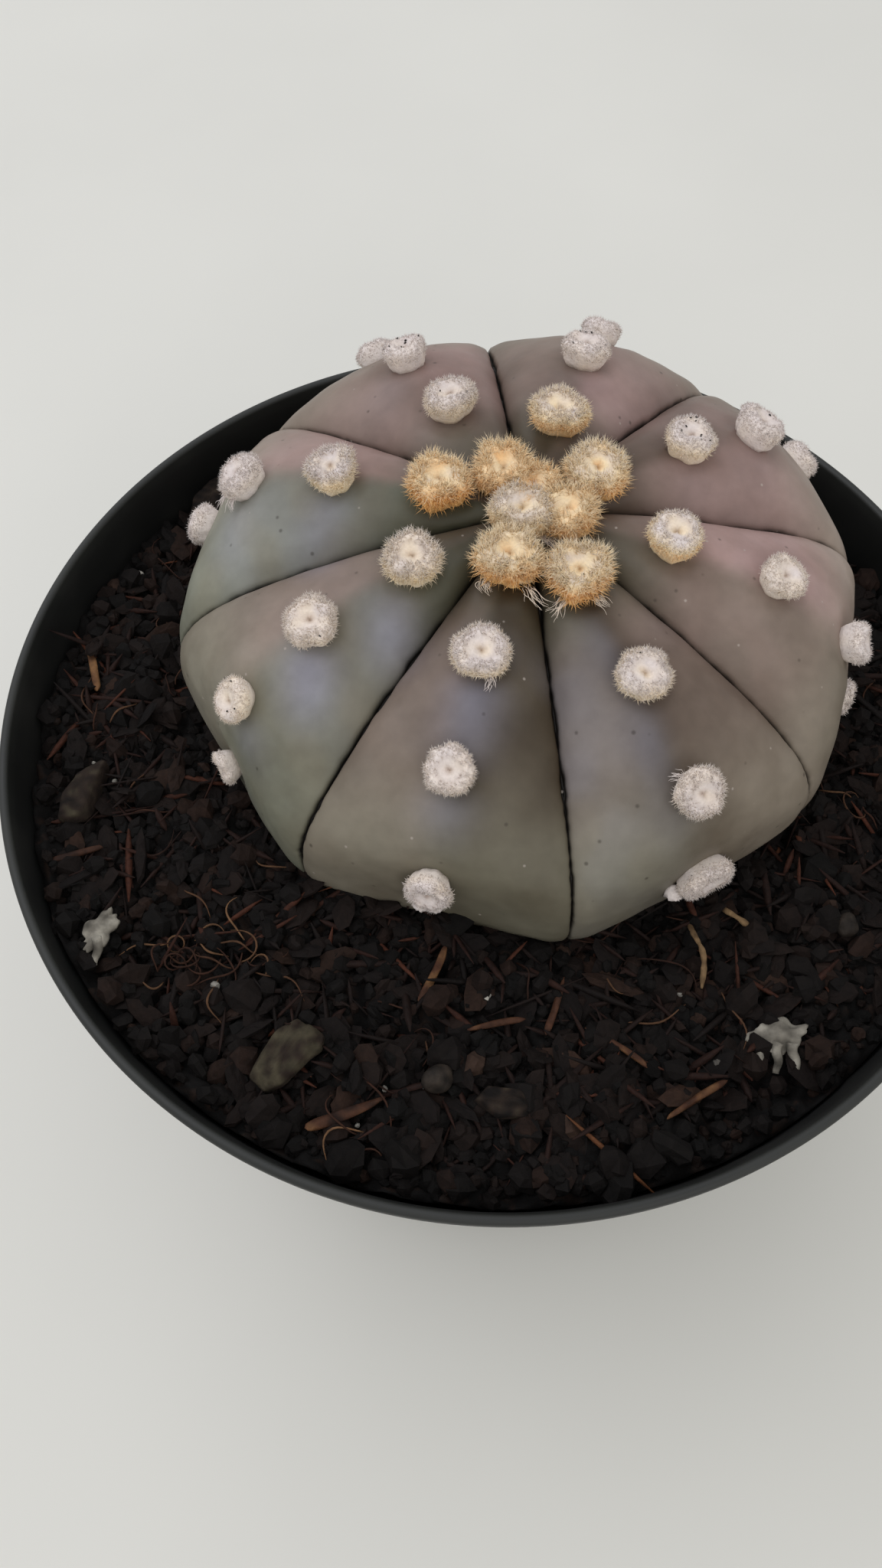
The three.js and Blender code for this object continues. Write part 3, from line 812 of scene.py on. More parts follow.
def build_body(settings):
    """The ribbed body. On the plain surface, along the way it faces: a narrow crease along each
    furrow, shoulders that swell beside it, a shallow seat under each tuft, and slow swells of
    the whole skin."""
    plant = Plant(settings)
    dome = (np.pi / 2) * (np.arange(1, DOME_RINGS + 1) / DOME_RINGS) ** RING_CROWD
    under = np.pi / 2 * (1 + (np.arange(1, UNDER_RINGS + 1) / UNDER_RINGS) ** RING_CROWD)
    root = np.pi * (1 + np.arange(1, ROOT_RINGS + 1) / ROOT_RINGS)
    angle = np.concatenate([dome, under, root])[:, None]
    bearing, away, side, rib, reach = rib_columns()
    base = plant.surface(angle, bearing[None], away[None])
    across = np.stack([-np.sin(bearing), np.cos(bearing), 0 * bearing], -1)
    facing = unit(np.cross(np.gradient(base, axis=0), across[None]))
    facing *= np.sign((facing * base).sum(-1))[..., None]
    placed = plant.placed(base)
    radius = np.hypot(base[..., 0], base[..., 1])
    furrow = radius * reach * (1 - away)
    wavy = furrow + 0.07 * ripples(base, 5, 11) + 0.04 * ripples(base, 1.3, 16)
    open_crown = smooth_step(radius, 2, 9)
    seen = 1 - smooth_step(angle, np.pi * 0.56, np.pi * 0.7)
    raised, halo = tuft_marks(plant, placed)
    crease = plant.crease_depth * np.exp(-((wavy / plant.crease_width) ** 2))
    shoulder = 0.16 * np.exp(-(((furrow - 2.2) / 1.6) ** 2)) - 0.08 * np.exp(-furrow / 0.4)
    raised += (shoulder - crease) * open_crown
    raised += 0.12 * ripples(base, 17, 12) + 0.035 * ripples(base, 5, 13)
    points = placed + (facing @ plant.turn.T) * (raised * seen)[..., None]

    # Each mask starts from what the rib's two faces have. It changes with the share of the way
    # out from the crown, with slow patches and streaks, and beside the creases. The shade mask is
    # painted shade, the sheen mask painted sheen, and the mauve and green masks partly painted
    # light.
    out = radius / plant.crest
    x, y = base[..., 0] / plant.crest, base[..., 1] / plant.crest
    inner, outer = 1 - smooth_step(out, 0.2, 0.55), smooth_step(out, 0.72, 1.0)
    patchy = 0.5 + 0.5 * np.tanh(ripples(base, 20, 14))
    streaky = 0.5 + 0.5 * np.tanh(ripples(base * np.array([1, 1, 0.5]), 7, 15))
    faces = np.array(RIB_FACES)[rib]
    second = smooth_step(side * away, -0.24, 0.12)[:, None]
    flush, green_and_painted_sheen, shade, painted_sheen = (faces[:, 0] * (1 - second) + faces[:, 1] * second).T[:, None]
    age = smooth_step(out + 0.12 * (patchy - 0.5), 0.15, 0.95)
    # Mauve: partly the skin's own flushing, and partly painted light on the far faces lit from
    # behind.
    flush = flush * (1 - 0.55 * outer) * (1 - 0.45 * inner) * (0.85 + 0.3 * patchy)
    # Green: the skin's own near the crown and low at the front; on the faces turned to the window
    # it is a painted sheen.
    green_and_painted_sheen = green_and_painted_sheen * (0.7 + 0.5 * streaky) * (1 - 0.2 * outer)
    green_and_painted_sheen += 0.55 * np.exp(-((radius / 16) ** 4)) * (0.3 + 0.7 * patchy)
    green_and_painted_sheen += 0.14 * outer * smooth_step(-y - 0.6 * x, 0.3, 0.9)
    # Painted sheen of the window: on the faces turned to it, and in a strip below each tuft.
    painted_sheen = painted_sheen * (0.4 + 0.8 * streaky) * smooth_step(out, 0.3, 0.55) * (1 - 0.6 * outer)
    painted_sheen += RIB_SHEEN[rib] * halo * smooth_step(out, 0.35, 0.6) * (1 - 0.3 * outer)
    # Painted shade: on the faces turned from the window, along the crests of some ribs, towards the
    # crown, beside each crease and towards the front right.
    shade = shade + CREST_SHADE[rib] * np.exp(-(((side * away + 0.05) / 0.36) ** 2))
    shade = shade * (0.9 + 0.2 * streaky) * (1 - 0.45 * outer) + 0.20 * inner
    shade += 0.14 * np.exp(-furrow / 0.6) * open_crown + 0.30 * np.exp(-((radius / 13) ** 4))
    shade += 0.16 * smooth_step(-y + 0.4 * x, 0.3, 0.9) * (1 - 0.6 * outer)
    masks = {"age": (age, 0.2), "flush": (flush, 0.1), "green_and_painted_sheen": (green_and_painted_sheen, 0.4),
             "painted_sheen": (painted_sheen, 0.0), "shade": (shade, 0.4)}  # each with its value at the poles
    fields = {name: np.append(np.clip(mask, 0, 0.95).ravel(), [pole] * 2)
              for name, (mask, pole) in masks.items()}
    fields["furrow"] = np.append(np.where(open_crown > 0.3, wavy, CLEAR_OF_FURROW).ravel(),
                                 [CLEAR_OF_FURROW] * 2)
    add_piece("ribbed_body", closed_tube(points), [cactus_skin(settings)],
              nodes=["cactus_body"], fields=fields)


# ---------------------------------------------------------------- wool tufts

# Each tuft: its name, its width across the rib and its length down it in mm, how ochre its
# sides are, how ochre its top is, how many dark flecks it holds, and how long its hairs are.
Tuft = namedtuple("Tuft", "name width length height side top flecks hair")
TUFTS = [Tuft(*row) for row in (
    ("crown", 6.8, 6.6, 3.6, 0.55, 0.18, 0, 1.3),
    ("rib1_1", 6.9, 6.4, 3.2, 0.80, 0.40, 1, 1.7),
    ("rib1_2", 6.4, 6.0, 2.3, 0.25, 0.04, 0, 0.8),
    ("rib1_3", 5.4, 5.4, 2.0, 0.12, 0.06, 0, 0.7),
    ("rib1_4", 5.4, 5.0, 2.2, 0.10, 0.02, 0, 0.7),
    ("rib2_1", 6.7, 6.3, 3.1, 0.85, 0.36, 1, 1.7),
    ("rib2_2", 5.9, 5.8, 2.3, 0.28, 0.04, 1, 0.8),
    ("rib2_3", 5.6, 5.6, 2.2, 0.12, 0.06, 0, 0.8),
    ("rib2_4", 7.0, 4.4, 2.4, 0.08, 0.04, 0, 0.7),
    ("rib3_1", 6.2, 6.2, 3.0, 0.72, 0.50, 0, 1.7),
    ("rib3_2", 5.8, 6.0, 2.9, 0.55, 0.06, 0, 0.8),
    ("rib3_3", 5.2, 5.4, 2.2, 0.12, 0.10, 0, 0.7),
    ("rib3_4", 5.0, 5.0, 2.4, 0.05, 0.02, 0, 0.6),
    ("rib3_5", 4.4, 4.4, 1.8, 0.05, 0.05, 0, 0.6),
    ("rib4_1", 6.7, 6.5, 3.2, 0.78, 0.32, 1, 1.5),
    ("rib4_2", 6.0, 5.8, 2.6, 0.25, 0.02, 11, 0.7),
    ("rib4_3", 6.4, 5.2, 2.8, 0.06, 0.02, 1, 0.6),
    ("rib4_4", 5.4, 4.8, 2.6, 0.06, 0.02, 0, 0.6),
    ("rib5_1", 5.4, 4.8, 2.9, 0.85, 0.62, 0, 1.7),
    ("rib5_2", 6.8, 5.6, 2.8, 0.66, 0.20, 1, 1.1),
    ("rib5_3", 6.2, 5.0, 2.6, 0.10, 0.03, 7, 0.6),
    ("rib5_4", 5.2, 5.0, 2.4, 0.06, 0.02, 0, 0.6),
    ("rib5_5", 4.6, 4.6, 2.0, 0.06, 0.04, 0, 0.6),
    ("rib6_1", 6.4, 6.2, 3.0, 0.72, 0.56, 0, 1.8),
    ("rib6_2", 6.4, 5.4, 2.7, 0.22, 0.05, 3, 0.8),
    ("rib6_3", 5.6, 5.2, 2.6, 0.06, 0.02, 12, 0.6),
    ("rib6_4", 5.2, 5.0, 2.4, 0.06, 0.02, 0, 0.6),
    ("rib6_5", 4.6, 4.6, 2.0, 0.06, 0.02, 0, 0.6),
    ("rib7_1", 6.2, 6.4, 3.2, 0.92, 0.50, 0, 1.7),
    ("rib7_2", 6.0, 5.6, 2.7, 0.35, 0.03, 0, 1.0),
    ("rib7_3", 6.2, 5.6, 2.6, 0.06, 0.02, 0, 0.7),
    ("rib7_4", 5.4, 5.2, 2.6, 0.05, 0.02, 0, 0.6),
    ("rib8_1", 6.2, 6.0, 2.8, 0.34, 0.12, 0, 1.2),
    ("rib8_2", 6.0, 6.0, 2.6, 0.14, 0.10, 1, 0.8),
    ("rib8_3", 5.0, 5.6, 1.9, 0.18, 0.12, 3, 0.6),
    ("rib8_4", 4.4, 4.6, 1.6, 0.08, 0.10, 0, 0.5),
)]
# Loose locks: the place in the tuft's axes, the way it trails (across, down), and its length.
WISPS = {
    "rib1_1": [(-2.6, 2.4, -0.75, 0.9, 3.4), (1.6, 2.8, 0.7, 0.7, 2.2)],
    "rib2_1": [(-0.4, 2.9, -0.3, 1.0, 2.0), (2.6, 1.6, 0.95, 0.5, 2.4)],
    "crown": [(-2.6, 1.0, -1.0, 0.25, 4.4)],
    "rib3_1": [(2.2, -1.0, 0.9, -0.6, 2.2)],
    "rib1_2": [(-1.6, 2.3, -0.4, 0.9, 1.4)],
    "rib7_3": [(-1.5, 2.0, -0.5, 0.8, 2.6), (-2.4, 0.6, -1.0, 0.3, 2.2)],
    "rib2_3": [(1.2, -2.2, 0.4, -0.9, 1.3)],
}
# Small beads of wool beside old tufts: the place in the tuft's axes, and the width.
BEADS = {
    "rib1_4": [(-0.8, 3.5, 1.6), (0.9, 3.8, 1.8)],
    "rib2_4": [(3.7, 1.2, 2.2)],
}
CUSHION_RINGS, CUSHION_COLUMNS = 26, 56
HAIR_CORNERS = 7  # two rings of three, and the tip
WISP_HAIRS, WISP_POINTS = 18, 9


def tuft_seat(plant, tuft):
    """Where a tuft stands: the middle of its CAD node's foot, the way down the rib, and the way
    the skin faces there."""
    middle, axes, sizes = pose_of("wool_tuft_" + tuft.name)
    normal = axes[:, 2]
    if (middle - plant.centre) @ normal < 0:
        normal = -normal
    point = middle - normal * sizes[2] / 2
    outward_way = point - plant.centre
    down = outward_way - normal * (outward_way @ normal)
    down = unit(down - np.array([0, 0, 3.0]) + normal * normal[2] * 3.0)
    return point, down, normal


def cushion(tuft, q, phi, seed):
    """A cushion's surface in its own axes: a drum that turns over its shoulder as q goes from 0
    to a quarter turn, the square root of the cosine out and of the sine up, drawn in a little
    at its foot, with a dimple and a low ring on top, soft lobes round it and felted bumps."""
    rng = np.random.default_rng(seed)
    turn = rng.uniform(0, TAU, 4)
    loose = tuft.hair
    lobes = 1 + loose * (0.045 * np.cos(3 * phi + turn[0]) + 0.035 * np.cos(5 * phi + turn[1])
                         + 0.03 * np.cos(8 * phi + turn[2]))
    out = np.maximum(np.cos(q), 0) ** 0.5
    rise = np.sin(q) ** 0.5
    wide = out * (1 - 0.16 * (1 - rise) ** 2) * lobes
    x = tuft.width / 2 * wide * np.cos(phi)
    y = tuft.length / 2 * wide * np.sin(phi)
    dimple = 0.26 * np.exp(-((out / 0.38) ** 2)) - 0.04 * np.exp(-(((out - 0.62) / 0.16) ** 2))
    z = tuft.height * (rise * (1 + 0.05 * np.cos(2 * phi + turn[3])) - dimple)
    points = np.stack([x, y, z], -1)
    felt = 0.06 * ripples(points, 1.5, seed)
    return points + unit(points + np.array([0, 0, 0.4])) * felt[..., None]


def hairs_on(tuft, seed, count, radius, reach):
    """Thin closed three-sided spikes that leave the cushion outwards and up, each with a bend:
    a root ring, a ring half way, and a tip."""
    rng = np.random.default_rng(seed + 5)
    q = np.arcsin(rng.uniform(0.02, 0.97, count) ** 0.8)
    phi = rng.uniform(0, TAU, count)
    root = cushion(tuft, q, phi, seed)
    ahead = cushion(tuft, np.minimum(q + 0.05, np.pi / 2), phi, seed)
    beside = cushion(tuft, q, phi + 0.05, seed)
    leaving = np.cross(beside - root, ahead - root)
    leaving *= np.sign((leaving * (root + np.array([0, 0, 0.01]))).sum(-1))[:, None]
    way = unit(unit(leaving) + 0.55 * rng.normal(size=(count, 3)) + np.array([0, 0, 0.15]))
    bend = 0.5 * rng.normal(size=(count, 3))
    run = reach * tuft.hair * rng.uniform(0.45, 1.15, count)[:, None]
    start = root - 0.15 * way
    halfway = start + 0.6 * run * way
    tip = halfway + 0.55 * run * unit(way + bend)
    side = unit(np.cross(way, rng.normal(size=(count, 3))))
    other = np.cross(way, side)
    angle = TAU * np.arange(3) / 3
    ring = np.cos(angle)[:, None] * side[:, None] + np.sin(angle)[:, None] * other[:, None]
    vertices = np.concatenate(
        [start[:, None] + radius * ring, halfway[:, None] + 0.75 * radius * ring, tip[:, None]], 1
    )
    quads = np.array([[0, 1, 4, 3], [1, 2, 5, 4], [2, 0, 3, 5]])
    triangles = np.array([[2, 1, 0], [3, 4, 6], [4, 5, 6], [5, 3, 6]])
    starts = (HAIR_CORNERS * np.arange(count))[:, None, None]
    shape = Shape(vertices.reshape(-1, 3), (quads + starts).reshape(-1, 4),
                  (triangles + starts).reshape(-1, 3))
    return outward(shape), np.repeat(rise_share(tuft, root), HAIR_CORNERS)


def wisp(start, way, reach, seed):
    """A loose lock of wool: a score of hairs that leave a place together, along a way in the
    tuft's own axes, spread, and lie on the skin."""
    rng = np.random.default_rng(seed)
    heading = np.arctan2(way[1], way[0])
    bend = rng.normal(0, 0.7)
    fall = np.linspace(0, 1, WISP_POINTS)
    hairs = []
    for _ in range(WISP_HAIRS):
        root = (start[0] + rng.normal(0, 0.28), start[1] + rng.normal(0, 0.28), 0.5)
        path = curl(root, heading + rng.normal(0, 0.13), reach * rng.uniform(0.35, 1.1),
                    bend + rng.normal(0, 0.35), int(rng.integers(1e6)), WISP_POINTS)
        path[:, 2] = 0.5 - 0.35 * fall + 0.25 * (path[:, 2] - 0.5)
        hairs.append(strand(path, np.linspace(0.042, 0.014, WISP_POINTS), 4))
    return joined(hairs)


def rise_share(tuft, points):
    """How far up the cushion each point is, from 0 at its foot to 1 at its top."""
    return np.clip(points[..., 2] / tuft.height, 0, 1)


def nugget(seed, rows=4, columns=6):
    """A rough angular crumb one unit in radius: a coarse ball whose corners are pushed about."""
    rng = np.random.default_rng(seed)
    lat = np.pi * (np.arange(rows) + 0.7) / (rows + 0.4)
    lon = TAU * np.arange(columns) / columns
    r = rng.uniform(0.75, 1.15, (rows, columns))
    x = r * np.sin(lat)[:, None] * np.cos(lon)
    y = r * np.sin(lat)[:, None] * np.sin(lon)
    z = r * np.cos(lat)[:, None] * np.ones(columns)
    return closed_tube(np.stack([x, y, z], -1))


def build_tuft(plant, wool, index, tuft, materials):
    """One tuft: a closed cushion whose foot is sunk 0.9 mm into the skin, its loose hairs, its
    locks and beads, and last its dark flecks, which have the second material."""
    seed = 100 + 7 * index
    point, down, normal = tuft_seat(plant, tuft)
    axes = np.stack([np.cross(down, normal), down, normal], -1)
    phi = TAU * np.arange(CUSHION_COLUMNS) / CUSHION_COLUMNS
    q = (np.pi / 2) * (1 - (1 - np.linspace(0, 0.985, CUSHION_RINGS)[:, None]) ** 2)
    top = cushion(tuft, q, phi[None], seed)
    foot = top[:1] * np.array([0.8, 0.8, 0]) + np.array([0, 0, -0.9])
    body = closed_tube(np.concatenate([foot, top]))
    count = int(wool.hairs * (tuft.width / 6) ** 2)
    hairs, hair_rise = hairs_on(tuft, seed, count, wool.hair_radius / MM, wool.hair_length / MM)

    rng = np.random.default_rng(seed + 9)
    rise = np.concatenate([rise_share(tuft, body.vertices), hair_rise])
    stray = np.concatenate([0.1 * ripples(body.vertices, 2.5, seed + 3),
                            np.repeat(rng.normal(0, 0.1, count), HAIR_CORNERS)])
    blend = smooth_step(rise, 0.45, 1.0)
    # More ochre on each tuft's side towards the front, and less on its side towards the back.
    south = -(np.concatenate([body.vertices, hairs.vertices]) @ axes.T)[:, 1] / (tuft.width / 2)
    side = tuft.side * (0.90 + 0.30 * np.clip(south, -1, 1))
    tone = side * (1 - blend) + tuft.top * blend + stray * (0.2 + tuft.side)

    spin = rng.uniform(0, TAU, tuft.flecks)
    q_fleck = np.arccos(rng.uniform(0.0, 0.8, tuft.flecks))
    spots = cushion(tuft, q_fleck, spin, seed) + np.array([0, 0, 0.12])
    small = rng.uniform(0.06, 0.16, (tuft.flecks, 3)) * np.array([1, 1.5, 0.7])
    pitch, roll = rng.normal(0, 0.4, tuft.flecks), rng.normal(0, 0.4, tuft.flecks)
    flecks = copies(nugget(seed), turns_of(spin, pitch, roll), small, spots)

    extras = [wisp((x, y), way, reach, seed + number)
              for number, (x, y, *way, reach) in enumerate(WISPS.get(tuft.name, ()))]
    for x, y, size in BEADS.get(tuft.name, ()):
        bead = nugget(seed + 3, 8, 12)
        extras.append(bead._replace(vertices=bead.vertices * size / 2 + np.array([x, y, 0.5])))
    shape = joined([body, hairs, *extras, flecks])
    extra_tone = np.full(sum(len(extra.vertices) for extra in extras), 0.5 * tuft.top)
    tone = np.concatenate([np.clip(tone, 0, 1), extra_tone, np.zeros(len(flecks.vertices))])
    # Painted shade in the dimple and in a ring round it.
    ring = np.hypot(shape.vertices[:, 0] / tuft.width, shape.vertices[:, 1] / tuft.length) * 2
    hollow = 0.6 * np.exp(-((ring / 0.17) ** 2)) + 0.18 * np.exp(-(((ring - 0.48) / 0.13) ** 2))
    hollow *= smooth_step(rise_share(tuft, shape.vertices), 0.2, 0.5)
    is_fleck = np.concatenate([
        np.arange(len(shape.quads)) >= len(shape.quads) - len(flecks.quads),
        np.arange(len(shape.triangles)) >= len(shape.triangles) - len(flecks.triangles),
    ])
    shape = shape._replace(vertices=shape.vertices @ axes.T + point)
    add_piece("wool_" + tuft.name, outward(shape), materials,
              nodes=["wool_tuft_" + tuft.name], fields={"tone": tone, "hollow": hollow},
              face_material=is_fleck)


def build_wool(plant_settings, wool):
    """Every tuft, on the plant's ribs."""
    plant = Plant(plant_settings)
    materials = [plant_wool(wool), dry_scale()]
    for index, tuft in enumerate(TUFTS):
        build_tuft(plant, wool, index, tuft, materials)


# ---------------------------------------------------------------- potting mix

MIX_LEVEL = POT_HEIGHT - 7  # height of the middle of the mix
BED_COLUMNS, BED_RINGS = 430, 150  # of the grid of its top
FLAKES, LOOSE_FIBRES, GRAINS = 420, 34, 34  # how many of each lie on the mix
FIBRE_POINTS = 14
# Knots of curled root on the mix: where each lies, and how many strands it has.
FIBRE_KNOTS = [(-34, -33, 12), (-27.5, -33, 8), (-50, -2, 3), (-10, -52, 4), (44, -8, 3)]


def mix_level(x, y):
    """Height of the mix: a plane that falls gently to the back and right, under low lumps."""
    lumps = np.sin(x / 4.3 + 1) * np.cos(y / 5.1) + np.sin((x + y) / 7.7)
    return MIX_LEVEL - 0.04 * y - 0.015 * x + 0.5 * lumps


def rough_level(x, y):
    """The level with the crumbly relief of bark and peat."""
    flat = np.stack([x, y, 0 * x], -1)
    return (mix_level(x, y) - 0.4 + 0.45 * ripples(flat, 8, 21) + 0.4 * ripples(flat, 3.2, 22)
            + 0.22 * ripples(flat, 1.4, 23))


def scattered(rng, count, plant, margin=1.2):
    """Places on the mix between the plant and the pot's wall, even over the area."""
    x, y = rng.uniform(-RIM_RADIUS, RIM_RADIUS, (2, 6 * count))
    wall = pot_inner_radius(MIX_LEVEL) - margin
    clear = np.hypot(x - plant.centre[0], y - plant.centre[1]) > plant.crest - 3.5
    keep = (np.hypot(x, y) < wall) & clear
    return x[keep][:count], y[keep][:count]


def build_bed(plant, mix):
    """A turned block that fills the pot, its top raised to the rough level and hollowed under
    the plant."""
    bearing = TAU * np.arange(BED_COLUMNS) / BED_COLUMNS
    share = np.linspace(1, 0.02, BED_RINGS)[:, None]
    edge = pot_inner_radius(MIX_LEVEL + 0.5) - 0.35
    x, y = edge * share * np.cos(bearing), edge * share * np.sin(bearing)
    far = np.hypot(x - plant.centre[0], y - plant.centre[1])
    hollow = np.where(far < plant.crest + 0.8, plant.underside(far - 0.5) - 0.4, np.inf)
    top = np.stack([x, y, np.minimum(rough_level(x, y), hollow)], -1)
    low = [(pot_inner_radius(FLOOR_TOP) - 2.4, FLOOR_TOP + 0.4)]
    low += [(pot_inner_radius(z) - 0.5, z) for z in (FLOOR_TOP + 2, 25, 50, 70, 80)]
    sides = np.array([[(r * np.cos(b), r * np.sin(b), z) for b in bearing] for r, z in low])
    block = closed_tube(np.concatenate([sides, top]))
    tint = 0.5 + 0.22 * ripples(block.vertices, 2.2, 24)
    stops = [(0.2, rgba("#0b0908")), (0.6, (*mix.peat, 1)), (0.95, rgba("#241913"))]
    peat = litter("damp_peat", stops, 0.9)
    add_piece("peat_bed", block, [peat], nodes=["potting_mix"],
              fields={"tint": np.clip(tint, 0, 1)})


def scatter(name, base, turns, sizes, places, tints, material, flat=True):
    """Adds one piece of many copies of a small shape, each with its own tint."""
    add_piece(name, copies(base, turns, sizes, np.stack(places, -1)), [material],
              fields={"tint": np.repeat(tints, len(base.vertices))}, flat=flat)


def build_crumbs(plant, mix, rng):
    """Crumbs of bark of two shapes, of sizes that spread as a bell curve of their logarithm."""
    stops = [(0.0, rgba("#070605")), (0.45, rgba("#120d0b")), (0.8, (*mix.bark, 1)),
             (1.0, rgba("#3c2d25"))]
    crumb = litter("bark_crumb", stops, 1.1)
    for kind in range(2):
        x, y = scattered(rng, mix.crumbs // 2, plant)
        count = len(x)
        size = np.exp(rng.normal(-0.12, 0.38, count)).clip(0.4, 2.3)
        sizes = size[:, None] * rng.uniform(0.65, 1.25, (count, 3)) * np.array([1, 1, 0.8])
        turns = turns_of(*rng.uniform(0, TAU, (3, count)))
        tints = np.clip(rng.beta(1.6, 3.2, count) + 0.1 * (size > 1.6), 0, 1)
        scatter(f"bark_crumbs_{kind + 1}", nugget(40 + kind), turns, sizes,
                (x, y, rough_level(x, y) + 0.25 * size), tints, crumb)


def build_flakes(plant, rng):
    """Thin flakes of bark that lie nearly flat."""
    x, y = scattered(rng, FLAKES, plant, 3.0)
    sizes = np.stack([rng.uniform(1.4, 3.6, FLAKES), rng.uniform(0.8, 1.9, FLAKES),
                      rng.uniform(0.3, 0.7, FLAKES)], -1)
    yaw, pitch, roll = rng.uniform(0, TAU, FLAKES), *rng.normal(0, 0.35, (2, FLAKES))
    stops = [(0.0, rgba("#0d0908")), (0.6, rgba("#1a110d")), (1.0, rgba("#35241b"))]
    scatter("bark_flakes", nugget(44, 4, 8), turns_of(yaw, pitch, roll), sizes,
            (x, y, rough_level(x, y) + 0.7), rng.beta(1.5, 2.2, FLAKES),
            litter("bark_flake", stops, 0.8))


def build_slivers(plant, mix, rng):
    """Slivers of torn wood: spindles whose radius is the square root of a falling square."""
    x, y = scattered(rng, mix.splinters, plant, 4.0)
    count = len(x)
    long = rng.gamma(3.0, 0.95, count).clip(1.0, 6.0)
    slim = rng.uniform(0.16, 0.5, count)
    sizes = np.stack([long, slim, slim * rng.uniform(0.5, 1, count)], -1)
    turns = turns_of(rng.uniform(0, TAU, count), rng.normal(0, 0.28, count),
                     rng.uniform(0, TAU, count))
    t = np.linspace(-1, 1, 5)[:, None]
    lon = TAU * np.arange(5) / 5
    taper = np.sqrt(1.04 - t**2)
    spindle = np.stack([t + 0 * lon, taper * np.cos(lon), taper * np.sin(lon)], -1)
    stops = [(0.0, rgba("#0f0a08")), (0.5, rgba("#27150f")), (0.85, rgba("#4d2a1c")),
             (1.0, (*mix.wood, 1))]
    scatter("wood_slivers", closed_tube(spindle), turns, sizes,
            (x, y, rough_level(x, y) + 0.75), rng.beta(1.3, 2.6, count),
            litter("torn_wood", stops, 0.6, 0.75), flat=False)


def build_grit(plant, rng):
    """A few pale grains of grit."""
    x, y = scattered(rng, GRAINS, plant, 3.0)
    sizes = rng.uniform(0.25, 0.55, (GRAINS, 1)) * rng.uniform(0.7, 1.2, (GRAINS, 3))
    turns = turns_of(*rng.uniform(0, TAU, (3, GRAINS)))
    stops = [(0.0, rgba("#4a4641")), (1.0, rgba("#a8a49b"))]
    scatter("pale_grit", nugget(47), turns, sizes, (x, y, rough_level(x, y) + 1.0),
            rng.uniform(0, 1, GRAINS), litter("pale_grit", stops, 0.8))


def build_mix(plant_settings, mix):
    """The bed of peat, and all the small stuff that lies loose on it."""
    plant = Plant(plant_settings)
    build_bed(plant, mix)
    rng = np.random.default_rng(31)
    build_crumbs(plant, mix, rng)
    build_flakes(plant, rng)
    build_slivers(plant, mix, rng)
    build_fibres(plant, rng)
    build_grit(plant, rng)


def build_fibres(plant, rng):
    """Curled dry root fibres, in a few knots and loose over the mix, each thickest in its
    middle, and drawn in where they would cross the pot's wall."""
    strands, tints = [], []
    share = np.linspace(0, 1, FIBRE_POINTS)
    for x, y, count in FIBRE_KNOTS:
        for _ in range(count):
            sx, sy = x + rng.normal(0, 1.3), y + rng.normal(0, 1.5)
            seed = int(rng.integers(1e6))
            path = curl((sx, sy, mix_level(sx, sy) + 0.9), rng.uniform(0, TAU),
                        rng.uniform(4, 9), rng.normal(0, 3.0), seed, FIBRE_POINTS)
            strands.append(strand(path, np.interp(share, [0, 0.5, 1], [0.09, 0.14, 0.04])))
            tints.append(rng.uniform(0.3, 1.0))
    for sx, sy in zip(*scattered(rng, LOOSE_FIBRES, plant, 8)):
        path = curl((sx, sy, mix_level(sx, sy) + 0.7), rng.uniform(0, TAU), rng.uniform(4, 11),
                    rng.normal(0, 1.4), int(rng.integers(1e6)), FIBRE_POINTS)
        strands.append(strand(path, np.interp(share, [0, 0.5, 1], [0.09, 0.13, 0.04])))
        tints.append(rng.uniform(0, 0.75))
    shape = joined(strands)
    wall = pot_inner_radius(MIX_LEVEL + 1) - 0.8
    far = np.hypot(shape.vertices[:, 0], shape.vertices[:, 1])
    squeeze = np.minimum(wall / far, 1)
    vertices = shape.vertices * np.stack([squeeze, squeeze, np.ones_like(squeeze)], -1)
    stops = [(0.0, rgba("#1a100d")), (0.5, rgba("#3a241a")), (1.0, rgba("#7a5b40"))]
    add_piece("root_fibres", shape._replace(vertices=vertices),
              [litter("dry_root_fibre", stops, 0.8)],
              fields={"tint": np.repeat(tints, [len(s.vertices) for s in strands])})


# ---------------------------------------------------------------- loose pieces

# How pale each chip and each splinter is.
CHIP_TINTS = (0.75, 0.25, 0.45, 0.3, 0.4, 0.3)
SPLINTER_TINTS = (0.75, 0.45, 0.35, 0.6, 0.5, 0.2, 0.85, 0.3)
HUSK_WALL = 0.4
HUSK_LIFT = 0.3
RIBBON_POINTS = 12
HUSK_RIBBONS = {1: (0,), 2: (-1, 0, 1)}  # each flake's ribbons, by their place across it


def dry_root(index, pose):
    """A dry root: a round strand along a flat sine wave that sags at its ends, with knots, and
    thinner towards its ends."""
    sizes = pose[2]
    t = np.linspace(-1, 1, 40)
    wave = 0.09 * sizes[0] * np.sin(2.6 * t + index)
    path = np.stack([t * sizes[0] / 2, wave, 0.7 - 0.9 * t**2], -1)
    knots = 1 + 0.18 * np.sin(9 * t + index) + 0.1 * ripples(path, 1.1, 320 + index)
    return strand(path, 0.35 * sizes[1] * knots * (1 - 0.6 * t**4), 12)


def pebble(index, pose):
    """A pebble: a ball stretched to the node's sizes, with low swells."""
    lat = np.linspace(0.1, np.pi - 0.1, 20)[:, None]
    lon = TAU * np.arange(32) / 32
    ball = np.stack([np.sin(lat) * np.cos(lon), np.sin(lat) * np.sin(lon),
                     np.cos(lat) + 0 * lon], -1)
    ball *= (1 + 0.06 * ripples(ball, 1.4, 340 + index))[..., None]
    return closed_tube(ball * pose[2] / 2)


